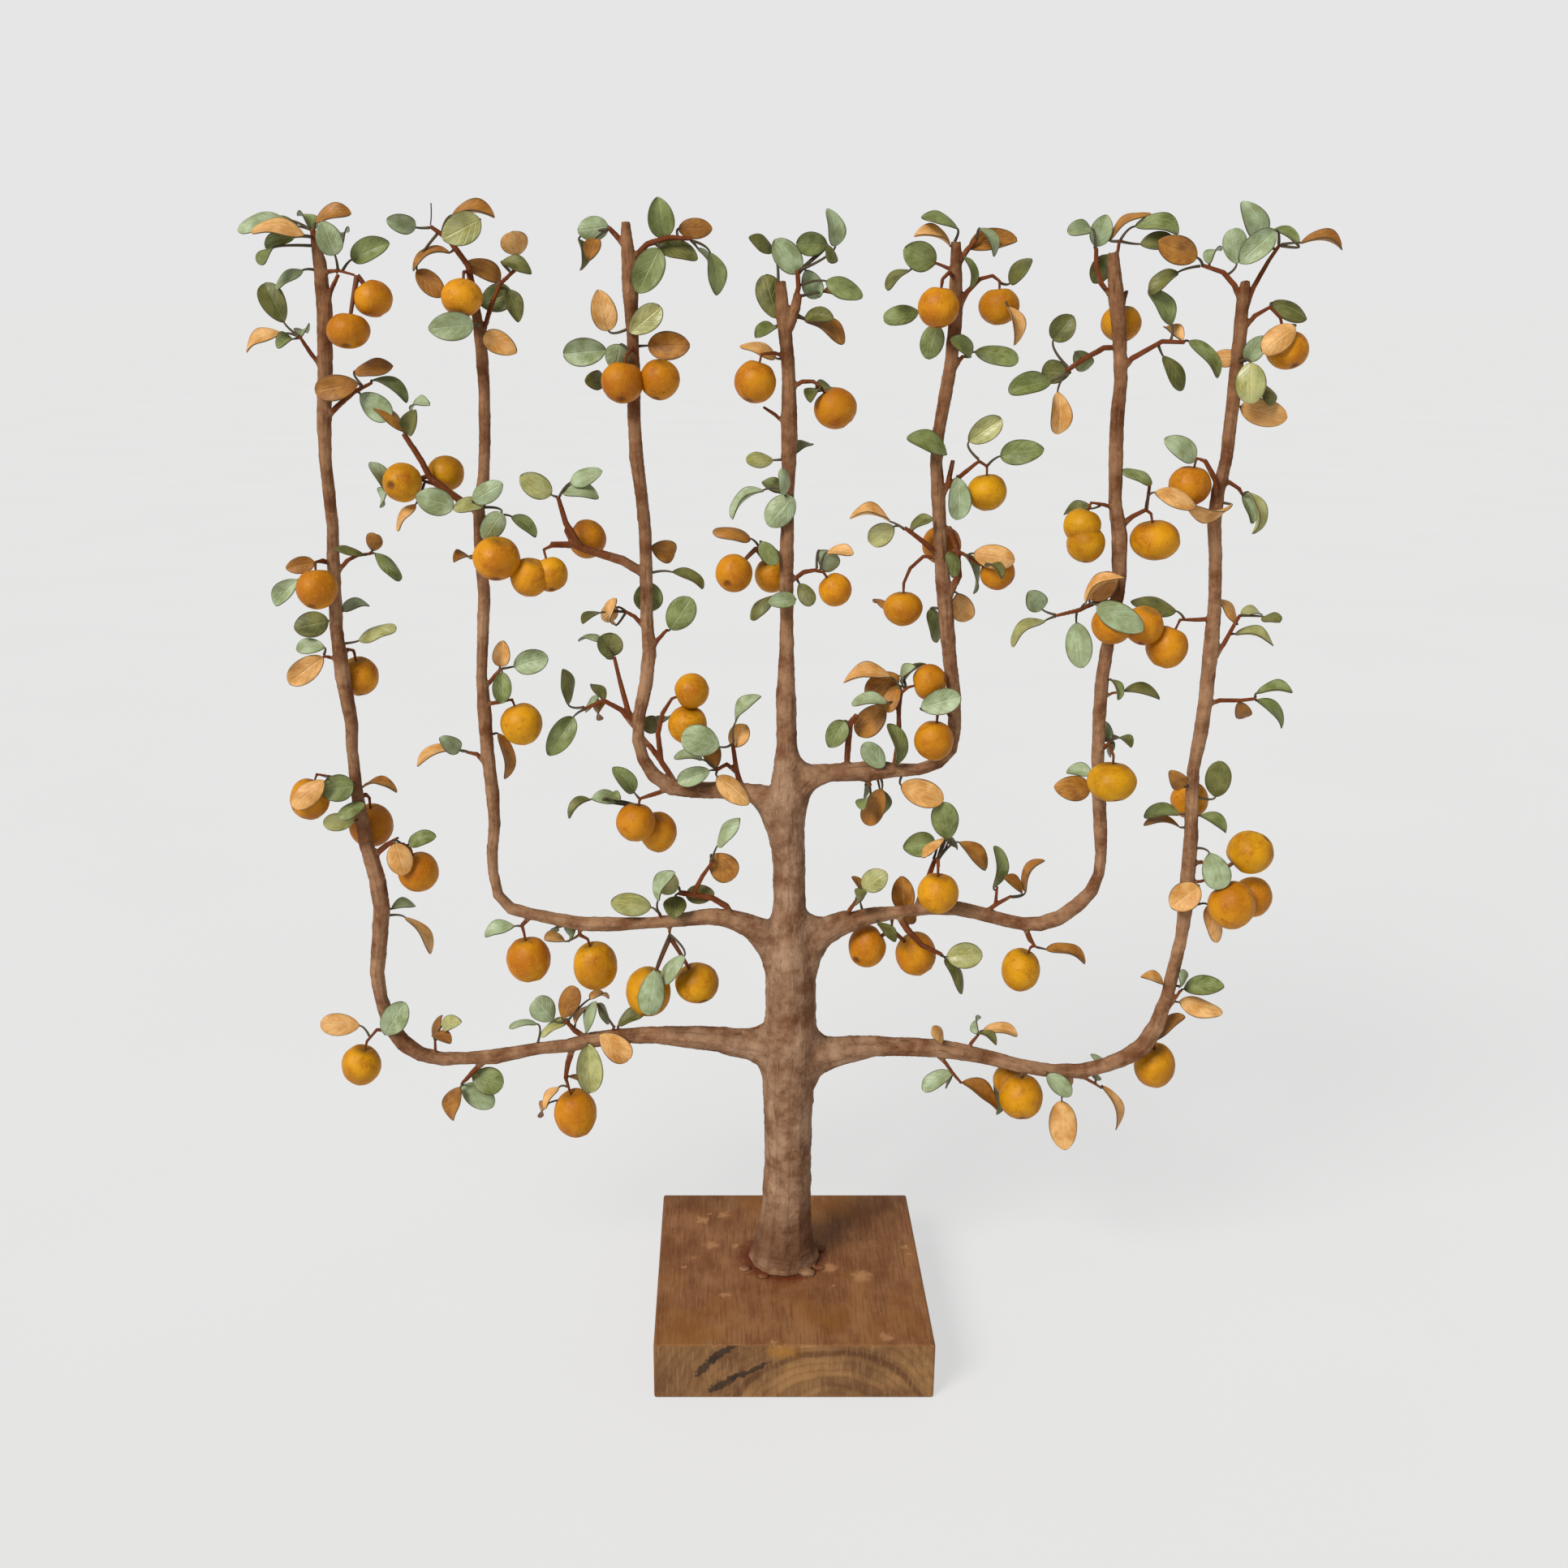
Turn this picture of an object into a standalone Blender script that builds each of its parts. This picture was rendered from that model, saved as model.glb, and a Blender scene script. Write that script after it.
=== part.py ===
"""A clay fruit tree on a wooden block, trained as a flat fan of seven upright leaders.

Millimetres throughout, turned into metres where objects are made. The tree is laid out as a
front elevation: x across and z up on the fan's plane, with a depth d in front of that plane.
"""
import math

import bmesh
import bpy
from mathutils import Vector

MM = 0.001
GAP = 0.3                  # clearance between neighbouring pieces

BLOCK_SIZE = 150.0         # square wooden block
BLOCK_HEIGHT = 33.0
BLOCK_EDGE = 1.2           # rounded edge
TREE_X = -4.0              # the tree's own axis, from the block's centre
TREE_Y = 7.0               # the fan's plane, behind the block's centre

EYE_X = -32.0              # the elevation is drawn as seen from this point: a piece that stands
EYE_Z = 570.0              # off the fan's plane slides along its line to it
EYE_FRONT = 819.0

ROD_X = 1.0                # steel rod up the trunk, from the tree's axis
ROD_RADIUS = 4.0
ROD_BOTTOM = 2.0
ROD_TOP = 329.0
LEADER_SOCKET = 321.5      # bottom of the blind hole in the rod's top end
COUNTERBORE_RADIUS = 13.0
COUNTERBORE_DEPTH = 13.0
WASHER_RADIUS = 11.5
WASHER_THICKNESS = 2.0
NUT_ACROSS_CORNERS = 14.4
NUT_HEIGHT = 6.5

WIRE_RADIUS = 1.2          # armature wire inside the clay
STEM_TIP = 0.6             # radius of a fruit's stem where it enters the fruit
STEM_DEPTH = 3.5           # how far a stem goes into its fruit
TWIG_TILT = 0.35           # turns the four-sided twigs and stems, so that none lies flush on another
STEM_TILT = 0.9

# Trunk and centre leader: x, z, radius.
TRUNK = [
    (1, 33.3, 20.3), (1, 38, 19), (1.1, 46, 16.5), (1.8, 58, 14.8), (2.3, 72, 13.7), (2.7, 95, 13),
    (2.5, 125, 13.4), (2.5, 148, 14.6), (2.8, 168, 15.5), (3.3, 188, 13.8), (3.2, 205, 13.6),
    (2.2, 226, 13.6), (1.9, 240, 11), (1.8, 252, 8.6), (1.4, 275, 8.5), (0, 295, 9.3),
    (-0.8, 312, 9.2), (-0.6, 328, 6.9), (-0.6, 342, 5.3), (-1.3, 366, 5.1), (-1.3, 386, 3.9),
    (-1.2, 402, 3.4), (-1.8, 438, 3.5), (-1.3, 472, 2.9), (-1.1, 500, 4.1), (-1.6, 529, 3.2),
    (-3.2, 545, 3.2), (-4.8, 558, 3.3), (-6.2, 573, 2.6),
]
LEADER_WIRE_END = 545.0    # the centre leader's wire stops here, inside the clay

# Each arm leaves the trunk, turns up and becomes an upright leader: x, z, radius. Its wire
# reaches the point numbered wire_end. root is where its stub starts inside the trunk.
ARMS = {
    "arm_outer_left": {"root": (2, 165, 11), "wire_end": 29, "route": [
        (-22, 170, 7.8), (-36, 171.6, 7.1), (-52, 173, 6.4), (-72, 174.2, 4.8), (-92, 173.8, 4.2),
        (-107, 171.2, 4.4), (-120, 167.8, 3.6), (-136, 166.2, 3.4), (-160, 161.2, 4.2),
        (-176, 160.2, 3.5), (-190, 159.6, 3.8), (-202, 162.6, 4.2), (-211.5, 169.5, 4.7),
        (-218, 180, 4.3), (-222, 197, 3.6), (-223.4, 212, 3.9), (-220.6, 231, 4.3),
        (-218.2, 250, 4.5), (-219.8, 267, 4.5), (-224.6, 288, 3.8), (-227.4, 315, 3.2),
        (-228.3, 338, 3), (-227.8, 353, 3.4), (-230.6, 378, 4), (-232.1, 402, 3.3),
        (-231.4, 430, 3.3), (-230.3, 456, 2.9), (-231.6, 488, 3.1), (-230.8, 507, 3.6),
        (-228.6, 532, 3.6), (-226.8, 560, 3.8), (-227.6, 582, 3.1), (-230, 597, 1.1)]},
    "arm_outer_right": {"root": (2, 158, 13), "wire_end": 32, "route": [
        (24, 163, 9), (36, 165.6, 7.6), (50, 167.6, 6), (66, 167, 5.2), (84, 166.3, 5.3),
        (100, 163.7, 4.8), (114, 160.4, 4.1), (130, 156, 4), (148, 152.4, 3.8), (166, 152.2, 4),
        (180, 156, 4.1), (191, 161.4, 4.7), (199.5, 168, 5), (205.5, 180, 4.5), (210, 198, 3.5),
        (212.4, 214, 3.6), (215, 233, 3.3), (215.9, 250, 3.9), (215.5, 270, 4), (215.5, 290, 3.7),
        (214.3, 308, 3.4), (213.4, 328, 3.2), (215.6, 346, 3.7), (216.8, 370, 3.7), (217, 394, 4),
        (217, 416, 3.3), (215.4, 438, 3.2), (213.2, 456, 3.4), (213.6, 472, 3.3), (216.4, 489, 3),
        (217, 512, 3.2), (217.5, 535, 3.2), (217.6, 552, 3.2), (217.4, 564, 2.9), (218, 573, 2.2)]},
    "arm_mid_left": {"root": (1, 224, 11), "wire_end": 26, "route": [
        (-22, 240.5, 5.6), (-31, 243.5, 4.8), (-42, 244.6, 4.6), (-54, 243, 3.9), (-70, 241.2, 3.1),
        (-84, 240.5, 3.4), (-96, 240.2, 4.1), (-110, 240.5, 4), (-122, 242.6, 3.5),
        (-138, 246.2, 3.3), (-148.5, 249.3, 3.3), (-155, 257, 2.9), (-157.3, 270, 2.7),
        (-157.4, 281, 2.9), (-155.4, 298, 3), (-155.7, 314, 3.4), (-157.6, 338, 3.4),
        (-157.9, 358, 3.6), (-158.7, 378, 2.6), (-157.2, 399, 2.9), (-155.6, 420, 3.1),
        (-156.6, 448, 3), (-156.4, 463, 3), (-153.2, 480, 2.8), (-151.8, 498, 2.8),
        (-151.1, 522, 2.8), (-151.8, 545, 3), (-153.6, 560, 2.2), (-156.2, 580, 1.3),
        (-165, 592, 1.2), (-173.5, 598, 0.8)]},
    "arm_mid_right": {"root": (3, 219, 12), "wire_end": 29, "route": [
        (26, 237.5, 6.3), (36, 242, 5.4), (48, 245.4, 4.5), (62, 247.4, 3.4), (78, 249.5, 3.6),
        (92, 249.4, 3.9), (106, 246.2, 3.8), (118, 242.6, 3.6), (128, 240.5, 3.6), (138, 240.4, 4.1),
        (148, 243.8, 4.2), (157, 250.8, 4), (164, 259, 3.6), (167.6, 269, 2.9), (168.1, 281, 3),
        (166.6, 297, 3.5), (164.8, 313, 3.6), (162.9, 333, 3.2), (162.1, 358, 3.4),
        (162.2, 378, 3.4), (164, 395, 3.2), (166.8, 415, 3.3), (167.2, 433, 3.6), (165.8, 451, 4),
        (162.6, 467, 3.2), (161.6, 487, 3.5), (160.7, 503, 3.4), (161.1, 527, 3.2),
        (159.3, 546, 3.4), (156.2, 566, 3.8), (153.2, 586, 2.6)]},
    "arm_inner_left": {"root": (0, 303, 8.5), "wire_end": 19, "route": [
        (-20, 314.8, 4.6), (-34, 316, 4.4), (-50, 316.4, 4.4), (-61, 317.6, 4.2), (-70.5, 324.5, 3.7),
        (-75.6, 333, 3.3), (-78.4, 343, 3), (-77.6, 357, 3.2), (-73.8, 374, 3.4), (-71.8, 391, 3.5),
        (-73, 410, 3.1), (-72.9, 430, 3.1), (-73.1, 451, 3.2), (-74.6, 470, 3.1), (-77, 489, 3.4),
        (-77.7, 508, 3.2), (-77.6, 530, 3), (-77.8, 548, 2.8), (-78.5, 568, 3.8), (-78.6, 581, 3.9),
        (-79.8, 590, 2.9), (-80.3, 600, 2)]},
    "arm_inner_right": {"root": (1, 313, 8), "wire_end": 19, "route": [
        (20, 325.7, 4.8), (32, 326.2, 5.2), (46, 327, 5.4), (57, 327.2, 3.8), (69, 327.6, 3.1),
        (79, 331.2, 3.3), (85.5, 338.5, 3.3), (87, 350, 3.3), (86, 368, 3.4), (83, 387, 3.5),
        (80.3, 408, 3.9), (77.8, 428, 3.8), (75.6, 450, 3.4), (74, 469, 3.3), (72.2, 486, 3),
        (72.8, 501, 2.9), (75.4, 519, 3.2), (77.6, 534, 3), (78.8, 551, 3.3), (78.4, 570, 3.2),
        (77.8, 591, 2.3)]},
}
# One bent wire per tier runs through both of its arms and a cross hole in the rod.
TIERS = {
    "lower_arm_wire": {"arms": ("arm_outer_left", "arm_outer_right"), "height": 166.5},
    "middle_arm_wire": {"arms": ("arm_mid_left", "arm_mid_right"), "height": 238.0},
    "upper_arm_wire": {"arms": ("arm_inner_left", "arm_inner_right"), "height": 317.0},
}

# Clay-covered twigs: first radius, last radius, then points x, z, depth from the clay outwards.
TWIGS = {
    "trunk": [
        (1.7, 1.2, [(-3, 549, 0), (0, 560, 0), (2.6, 570, 1), (2, 578, 2)]),
        (1.1, 0.7, [(-1.5, 504, 0), (-8, 510, 1), (-14, 513.8, 1)]),
    ],
    "arm_outer_left": [
        (1.4, 0.9, [(-226.5, 556, 0), (-223.5, 568, 2), (-219, 576, 3)]),
        (1.3, 0.8, [(-230, 532, 0), (-236, 541, 1), (-240, 547.5, 2)]),
        (1.7, 0.8, [(-230, 508, 0), (-224, 514, 3), (-215, 521, 2), (-206, 525.5, 1)]),
        (1.3, 0.8, [(-230.5, 431, 0), (-224, 438, 0), (-219, 440.5, 1), (-212, 441.5, 2)]),
        (1.1, 0.7, [(-232, 386, 0), (-237, 388, 1), (-240, 388.5, 2)]),
        (1.2, 0.8, [(-220, 281, 0), (-214, 286, -1), (-207, 289.7, -1)]),
        (1.2, 0.8, [(-194, 161, 0), (-193.7, 171, 1)]),
        (2.1, 0.9, [(-166, 160, 0), (-174, 151, 2), (-180, 144.5, 3)]),
        (2.1, 1.0, [(-108, 171, 0), (-116, 177, 1), (-121, 183, 3)]),
        (1.2, 0.7, [(-97, 174, 0), (-94, 179.5, 2)]),
    ],
    "arm_outer_right": [
        (1.4, 0.8, [(101, 164, 0), (104, 170, 1), (107, 174, 2)]),
        (1.5, 0.8, [(84, 163, 0), (90, 157, 2), (94, 151, 3), (99, 145, 3)]),
        (1.5, 0.7, [(158, 151, 0), (168, 148, 2), (173, 145, 2), (178, 141.5, 2)]),
        (1.3, 0.9, [(208, 184, 0), (212.5, 193, 2), (217, 201, 3)]),
        (1.6, 1.0, [(216, 362, 0), (224, 365, 1), (235, 365, 2), (243, 366, 2)]),
        (1.6, 0.9, [(218, 384, 0), (224, 396, 1), (228, 405, 2), (230.5, 410, 2)]),
        (1.5, 0.7, [(214, 476, 0), (219, 477, 1), (224, 474, 1), (226, 471, 1)]),
        (1.6, 0.9, [(217.5, 554, 0), (222, 570, -1), (228, 582, -1), (233, 590, -1)]),
        (1.8, 1.1, [(217, 563, 0), (213, 571, 1), (207, 577, 1), (196, 580.5, 1)]),
        (1.7, 1.3, [(215, 275, 0), (223, 276, 1)]),
    ],
    "arm_mid_left": [
        (2.1, 1.6, [(-27, 242, 0), (-32, 250.5, 1), (-40, 255.5, 2), (-58, 258.5, 2)]),
        (1.6, 1.0, [(-50, 258, 2), (-45, 268, 2), (-39.5, 276, 3)]),
        (1.3, 0.9, [(-66, 241, 0), (-69, 247.5, 3)]),
        (1.5, 0.8, [(-157.6, 329, 0), (-163, 336, 0), (-168, 337, 0)]),
        (1.4, 0.9, [(-158, 371, 0), (-152, 378, 1), (-148.5, 382, 1)]),
        (2.2, 1.4, [(-156.5, 462, 0), (-168, 470, 0), (-180, 479.5, 0), (-184, 488, 1), (-192, 501, 2)]),
        (1.3, 0.9, [(-150.5, 549, 0), (-146, 562, 1), (-141, 572, 1), (-133, 579, 2)]),
    ],
    "arm_mid_right": [
        (1.5, 1.0, [(29, 239.5, 0), (33.5, 247, 2), (38, 254, 3)]),
        (2.4, 1.1, [(60, 247, 0), (66, 237, 4), (74, 228, 7), (85, 222.5, 6)]),
        (1.7, 1.0, [(107, 246.5, 0), (114, 252, 1), (121.5, 256.5, 2)]),
        (1.1, 0.8, [(113, 251, 1), (113.5, 262, 2)]),
        (0.9, 0.7, [(163, 366, 0), (168, 369, 1), (173, 369.5, 2)]),
        (1.7, 0.8, [(167, 416, 0), (158, 417.5, 3), (148, 412.5, 4), (136, 409.5, 4)]),
        (1.6, 0.9, [(166, 456, 0), (171.5, 460, -3), (178.5, 463.5, -3), (179.3, 478, -3)]),
        (1.8, 1.0, [(161, 531, 0), (166, 537, 1), (180, 545, 2), (191, 544.5, 2)]),
        (1.6, 1.2, [(159.7, 542, 0), (152, 542, 1), (143, 537, 2), (134, 531, 2)]),
        (1.6, 1.1, [(155.5, 564, 0), (148.5, 572, 2), (145.5, 580, 3), (145, 588, 3)]),
        (1.1, 0.8, [(154.5, 578, 0), (156, 592, 0)]),
    ],
    "arm_inner_left": [
        (3, 1.7, [(-73, 431, 0), (-85, 438, 0), (-98, 442, 0), (-110, 446, 1), (-121, 446, 3)]),
        (2.2, 1.2, [(-106, 445, 1), (-113, 457, 2), (-116.5, 470, 2)]),
        (1.5, 0.8, [(-73, 402, 0), (-79, 409, 1), (-84, 412, 2)]),
        (1.7, 0.8, [(-72, 389, 0), (-67.5, 397, 1), (-62.5, 402.5, 2)]),
        (1.9, 1.1, [(-78, 346, 0), (-83.5, 360, 1), (-87, 374, 2), (-90, 388, 2)]),
        (1.8, 1.0, [(-78.5, 349, 0), (-87, 360, 2), (-96, 365, 3), (-106, 360.5, 3)]),
        (1.6, 1.1, [(-67, 333, 2), (-72, 340, 1), (-78, 348, 0)]),
        (2.1, 1.3, [(-24, 315.5, 0), (-27, 328, 1), (-29, 342, 2)]),
        (1.5, 1.0, [(-26.5, 326, 1), (-32, 330.5, 2), (-38, 327, 2)]),
        (1.7, 1.2, [(-79.5, 587, 0), (-85, 594, 0), (-88.5, 597.5, 0)]),
        (1.8, 1.1, [(-78.6, 582, 0), (-70, 590, 1), (-60, 593, 2), (-49, 592.5, 2)]),
    ],
    "arm_inner_right": [
        (2, 1.6, [(31, 327, 0), (31.5, 341, 1), (32.5, 353, 2), (36, 357, 3)]),
        (1.7, 1.2, [(40, 324, 0), (44, 318.5, 2)]),
        (2.4, 1.5, [(79.5, 416, 0), (85.5, 430, 2), (84, 445, 1), (79.5, 455, 1)]),
        (2, 1.2, [(76, 440, 0), (67, 447.5, 4), (57.5, 454.5, 5)]),
        (1.9, 1.2, [(74, 466, 0), (78.5, 476, 1), (80.5, 488, 1)]),
        (1.5, 1.0, [(78.5, 531, 0), (83.5, 538.5, 1)]),
        (1.7, 1.0, [(78.3, 579, 0), (83, 587, 1), (88, 592.5, 1)]),
        (1.0, 0.7, [(78, 577.5, 0), (72, 580, -1), (68, 581.5, -1)]),
    ],
}

# Fruits: name, arm that carries the stem, balls (x, z, depth, half width, half height), the
# stem's radius where it leaves the clay, and its points x, z, depth. The stem enters the first
# ball. In a cluster the balls are pressed together, unless a fork apex (x, z, depth) joins them.
FRUITS = [
    ("fruit_outer_left_1", "arm_outer_left", [(-203, 565, 6, 9.2, 8.6), (-216, 550, 13, 10.3, 8.3)],
        1.6, [(-227.5, 577, 0), (-219, 578, 3)], (-210, 575.5, 7)),
    ("fruit_outer_left_2", "arm_outer_left", [(-240.5, 423.5, 12, 10.3, 10.1)],
        1.4, [(-231.5, 436, 0), (-236.5, 438, 4), (-240.5, 437, 10)], None),
    ("fruit_outer_left_3", "arm_outer_left", [(-222, 378, -12.5, 10, 10.2)],
        1.4, [(-231, 387, 0), (-227, 392, -5), (-224, 391.5, -10)], None),
    ("fruit_outer_left_4", "arm_outer_left", [(-252.5, 311.5, 2, 10.2, 11)],
        1.2, [(-227.5, 317, 0), (-238, 323, -2), (-248, 325, 0)], None),
    ("fruit_outer_left_5", "arm_outer_left", [(-221, 296.7, -17, 11.9, 11.8)],
        1.4, [(-226.8, 310, 0), (-223, 314, -8), (-221, 312, -15)], None),
    ("fruit_outer_left_6", "arm_outer_left", [(-197.5, 270.5, 2, 10.9, 10.7)],
        1.3, [(-220.5, 279, 0), (-212, 286, 1), (-204.5, 286, 2), (-201, 283.5, 2)], None),
    ("fruit_outer_left_7", "arm_outer_left", [(-235.5, 156, 3, 10.7, 11.2)],
        1.2, [(-217, 177, 0), (-225.5, 177.5, 2), (-231.5, 170.5, 3)], None),
    ("fruit_outer_left_8", "arm_outer_left", [(-117, 126, 3, 11.8, 14)],
        2.3, [(-117, 168, 0), (-120.5, 157, 1), (-122, 148, 2), (-120.5, 142.5, 3)], None),
    ("fruit_mid_left_1", "arm_mid_left", [(-160, 565.5, 11, 9.9, 8.8)],
        1.2, [(-156, 577, 0), (-158.5, 577.5, 8)], None),
    ("fruit_mid_left_2", "arm_mid_left", [(-194, 477, 3, 9.7, 9.7), (-172, 481.5, -12, 9.2, 8.8)],
        1.5, [(-176, 476, 0), (-182.5, 477.5, -4)], (-185.5, 478.5, -6)),
    ("fruit_mid_left_3", "arm_mid_left", [(-139, 352.5, 4, 10.8, 11)],
        1.4, [(-157.5, 363, 0), (-150.5, 364, 2), (-143.5, 365.5, 3)], None),
    ("fruit_mid_left_4", "arm_mid_left", [(-140, 219.7, 2, 11.8, 12.7)],
        1.7, [(-138, 245, 0), (-143, 239.5, 1), (-142, 235, 2)], None),
    ("fruit_mid_left_5", "arm_mid_left", [(-103.8, 216, 1, 12, 13.6)],
        1.9, [(-111, 241, 0), (-112, 234, 0), (-107.5, 231.5, 1)], None),
    ("fruit_mid_left_6", "arm_mid_left", [(-75, 200.6, 3, 12.3, 13.7), (-48.4, 205.8, 0, 12, 11)],
        2.2, [(-63, 241, 0), (-63, 236, 1)], (-62.8, 232.5, 1)),
    ("fruit_inner_left_1", "arm_inner_left",
        [(-121.5, 431, 7, 8.7, 8.8), (-132, 429.5, 10, 9.8, 9.8), (-148.5, 439, 14.5, 11.8, 10.8)],
        1.3, [(-119, 446, 3), (-124.5, 443.5, 5)], None),
    ("fruit_inner_left_2", "arm_inner_left", [(-102.5, 448.8, -14.5, 9.6, 9.9)],
        1.3, [(-110, 447, 1), (-113, 453, -8), (-112.5, 455.5, -13)], None),
    ("fruit_inner_left_3", "arm_inner_left",
        [(-83.2, 525.7, 14.5, 10.2, 10), (-64.8, 527, 12, 9.6, 9.6)],
        1.2, [(-77.7, 541, 0), (-78, 542, 7), (-81, 538.5, 13)], None),
    ("fruit_inner_left_4", "arm_inner_left", [(-50.3, 370, 3, 8.9, 9), (-52.5, 352, 3, 10, 10.2)],
        2.1, [(-58.5, 319, 0), (-66.5, 332, 2), (-68, 347, 3), (-65.5, 358, 3), (-60.5, 366, 3)], None),
    ("fruit_inner_left_5", "arm_inner_left",
        [(-80.3, 298.5, 6, 10.2, 10.3), (-68.5, 293, -4, 9.8, 10.8)],
        1.8, [(-62, 317, 0), (-72, 313.5, 3), (-78, 311.5, 5)], None),
    ("fruit_centre_1", "trunk", [(-18, 526, 3, 10.2, 10.2)],
        1.3, [(-3, 537.5, 0), (-8.5, 539.5, 1), (-15, 539, 2)], None),
    ("fruit_centre_2", "trunk", [(21.5, 513.2, 3, 10.3, 10)],
        1.5, [(-0.5, 523, 0), (5, 526, 1), (10.5, 526, 2), (14, 523.5, 3)], None),
    ("fruit_centre_3", "trunk", [(-28.3, 431.5, 2, 9.3, 9.5), (-9, 430.5, -14, 9, 9)],
        1.8, [(-2, 438, 0), (-10, 445, -2)], (-17, 444, -5)),
    ("fruit_centre_4", "trunk", [(23.2, 423, 2, 8.3, 8.4)],
        1.6, [(-1, 426, 0), (7, 432, 1), (12.5, 433, 2), (17, 432, 2)], None),
    ("fruit_inner_right_1", "arm_inner_right", [(70.5, 561, 12.5, 9.8, 9.6)],
        1.2, [(78.3, 574, 0), (75, 577, 7), (72, 574, 12)], None),
    ("fruit_inner_right_2", "arm_inner_right", [(99.8, 561.5, 2, 9.7, 8.8)],
        1.7, [(78.8, 557, 0), (84, 568, 1), (90, 574, 1), (96, 575.5, 2), (99.5, 573, 2)], None),
    ("fruit_inner_right_3", "arm_inner_right", [(98, 472.4, 2, 9.8, 9.2)],
        1.5, [(78, 474.5, 1), (86, 481.5, 1), (93.5, 487.5, 2), (97.5, 485, 2)], None),
    ("fruit_inner_right_4", "arm_inner_right", [(76.5, 446, -15.5, 10, 9.8)],
        1.4, [(75, 455, 0), (75, 462, -8), (75.8, 459.5, -14)], None),
    ("fruit_inner_right_5", "arm_inner_right", [(105.3, 432, 1, 8.7, 9)],
        1.3, [(76.5, 440, 0), (84, 443, 2), (90, 440, 2), (95, 436.5, 1)], None),
    ("fruit_inner_right_6", "arm_inner_right", [(58, 413.5, 3, 9.8, 8.8)],
        1.2, [(76.5, 439, 0), (67.5, 440, 2), (61, 434, 3), (58, 426.5, 3)], None),
    ("fruit_inner_right_7", "arm_inner_right", [(72.8, 374.8, 4, 8.7, 9.3)],
        1.7, [(56, 328, 0), (58, 345, 1), (57.5, 360, 2), (58.5, 369, 3), (62, 372, 4)], None),
    ("fruit_inner_right_8", "arm_inner_right", [(76.4, 343.5, 13, 10, 10.4)],
        1.2, [(86.8, 353, 0), (82, 360, 7), (78, 358, 12)], None),
    ("fruit_mid_right_1", "arm_mid_right", [(159.5, 553.5, -14.5, 9.7, 9)],
        1.3, [(157, 563, 0), (161, 568, -8), (160.5, 565.5, -13)], None),
    ("fruit_mid_right_2", "arm_mid_right",
        [(146.8, 455.5, 3, 9.2, 8.8), (149.3, 446.5, 5, 9.5, 9.4)],
        1.3, [(163.5, 464, 0), (157, 466, 2), (150.5, 467, 3)], None),
    ("fruit_mid_right_3", "arm_mid_right", [(184, 448.4, 2, 12.3, 10.1)],
        1.6, [(166, 454, 0), (171.5, 460, 1), (178, 463.5, 2), (181, 461.5, 2)], None),
    ("fruit_mid_right_4", "arm_mid_right", [(171, 321, 16, 12.6, 10.2)],
        1.2, [(163, 336, 0), (168, 342, 7), (171, 335, 14)], None),
    ("fruit_mid_right_5", "arm_mid_right", [(81.7, 258.3, 14, 10.9, 10.8)],
        2.1, [(70, 248.5, 0), (75, 263, 1), (79, 276, 4), (81, 278, 9), (81.3, 272.5, 13)], None),
    ("fruit_mid_right_6", "arm_mid_right", [(44.5, 227.3, -7, 10.2, 12), (71, 223, -10, 11, 12.2)],
        1.8, [(57.5, 246.5, 0), (57.5, 241, -5)], (57.5, 236.5, -8)),
    ("fruit_mid_right_7", "arm_mid_right", [(128.7, 213.5, 3, 10.4, 11.8)],
        1.8, [(129, 240, 0), (133, 231, 1), (136, 227, 2), (133.5, 227, 3)], None),
    ("fruit_outer_right_1", "arm_outer_right",
        [(194.3, 393.5, 6, 10.4, 10.9), (181.5, 404.5, 10, 10, 9.8), (165.3, 405, 14.3, 10.2, 9.8)],
        1.6, [(217, 408, 0), (208, 407.5, 2), (200, 407.5, 5)], None),
    ("fruit_outer_right_2", "arm_outer_right",
        [(133, 136.5, 3, 12, 12.8), (127, 146.5, -12, 10.2, 9.6)],
        1.6, [(132, 155.5, 0), (132.6, 151.5, 2)], None),
    ("fruit_outer_right_3", "arm_outer_right", [(206.3, 156, -12, 11.4, 13.2)],
        1.4, [(200, 169, 0), (205, 171.5, -8)], None),
    ("fruit_outer_right_4", "arm_outer_right", [(241.3, 541, 2, 10, 9.3)],
        1.6, [(217.6, 549, 0), (224, 557, 1), (231, 561, 1), (236.5, 556, 2)], None),
    ("fruit_outer_right_5", "arm_outer_right", [(199.2, 475.5, 2, 10.3, 10)],
        1.9, [(213.5, 466, 1), (212, 478, 6), (206, 487.5, 6), (201.5, 489, 3)], None),
    ("fruit_outer_right_6", "arm_outer_right", [(212.8, 311, -15, 9.8, 10)],
        1.3, [(213.7, 321, 0), (212, 326.5, -8), (212.3, 324, -14)], None),
    ("fruit_outer_right_7", "arm_outer_right",
        [(247.6, 281.5, 1, 11.9, 11.4), (240.6, 251.2, 9, 12.2, 12.8), (251.3, 256, -8, 10.3, 11)],
        1.6, [(215.6, 264, 0), (223, 265, 2)], (229.5, 267, 2)),
]

PARTS = None               # collections, made in main
CUTTERS = None


def clear_scene():
    for item in list(bpy.data.objects):
        bpy.data.objects.remove(item, do_unlink=True)


def new_collection(name):
    group = bpy.data.collections.new(name)
    bpy.context.scene.collection.children.link(group)
    return group


def place(x, z, depth=0.0):
    """A point of the elevation, as a point of the model in metres."""
    nearer = (EYE_FRONT - depth) / EYE_FRONT
    across = TREE_X + EYE_X + (x - EYE_X) * nearer
    up = EYE_Z + (z - EYE_Z) * nearer
    return Vector((across, TREE_Y - depth, up)) * MM


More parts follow.
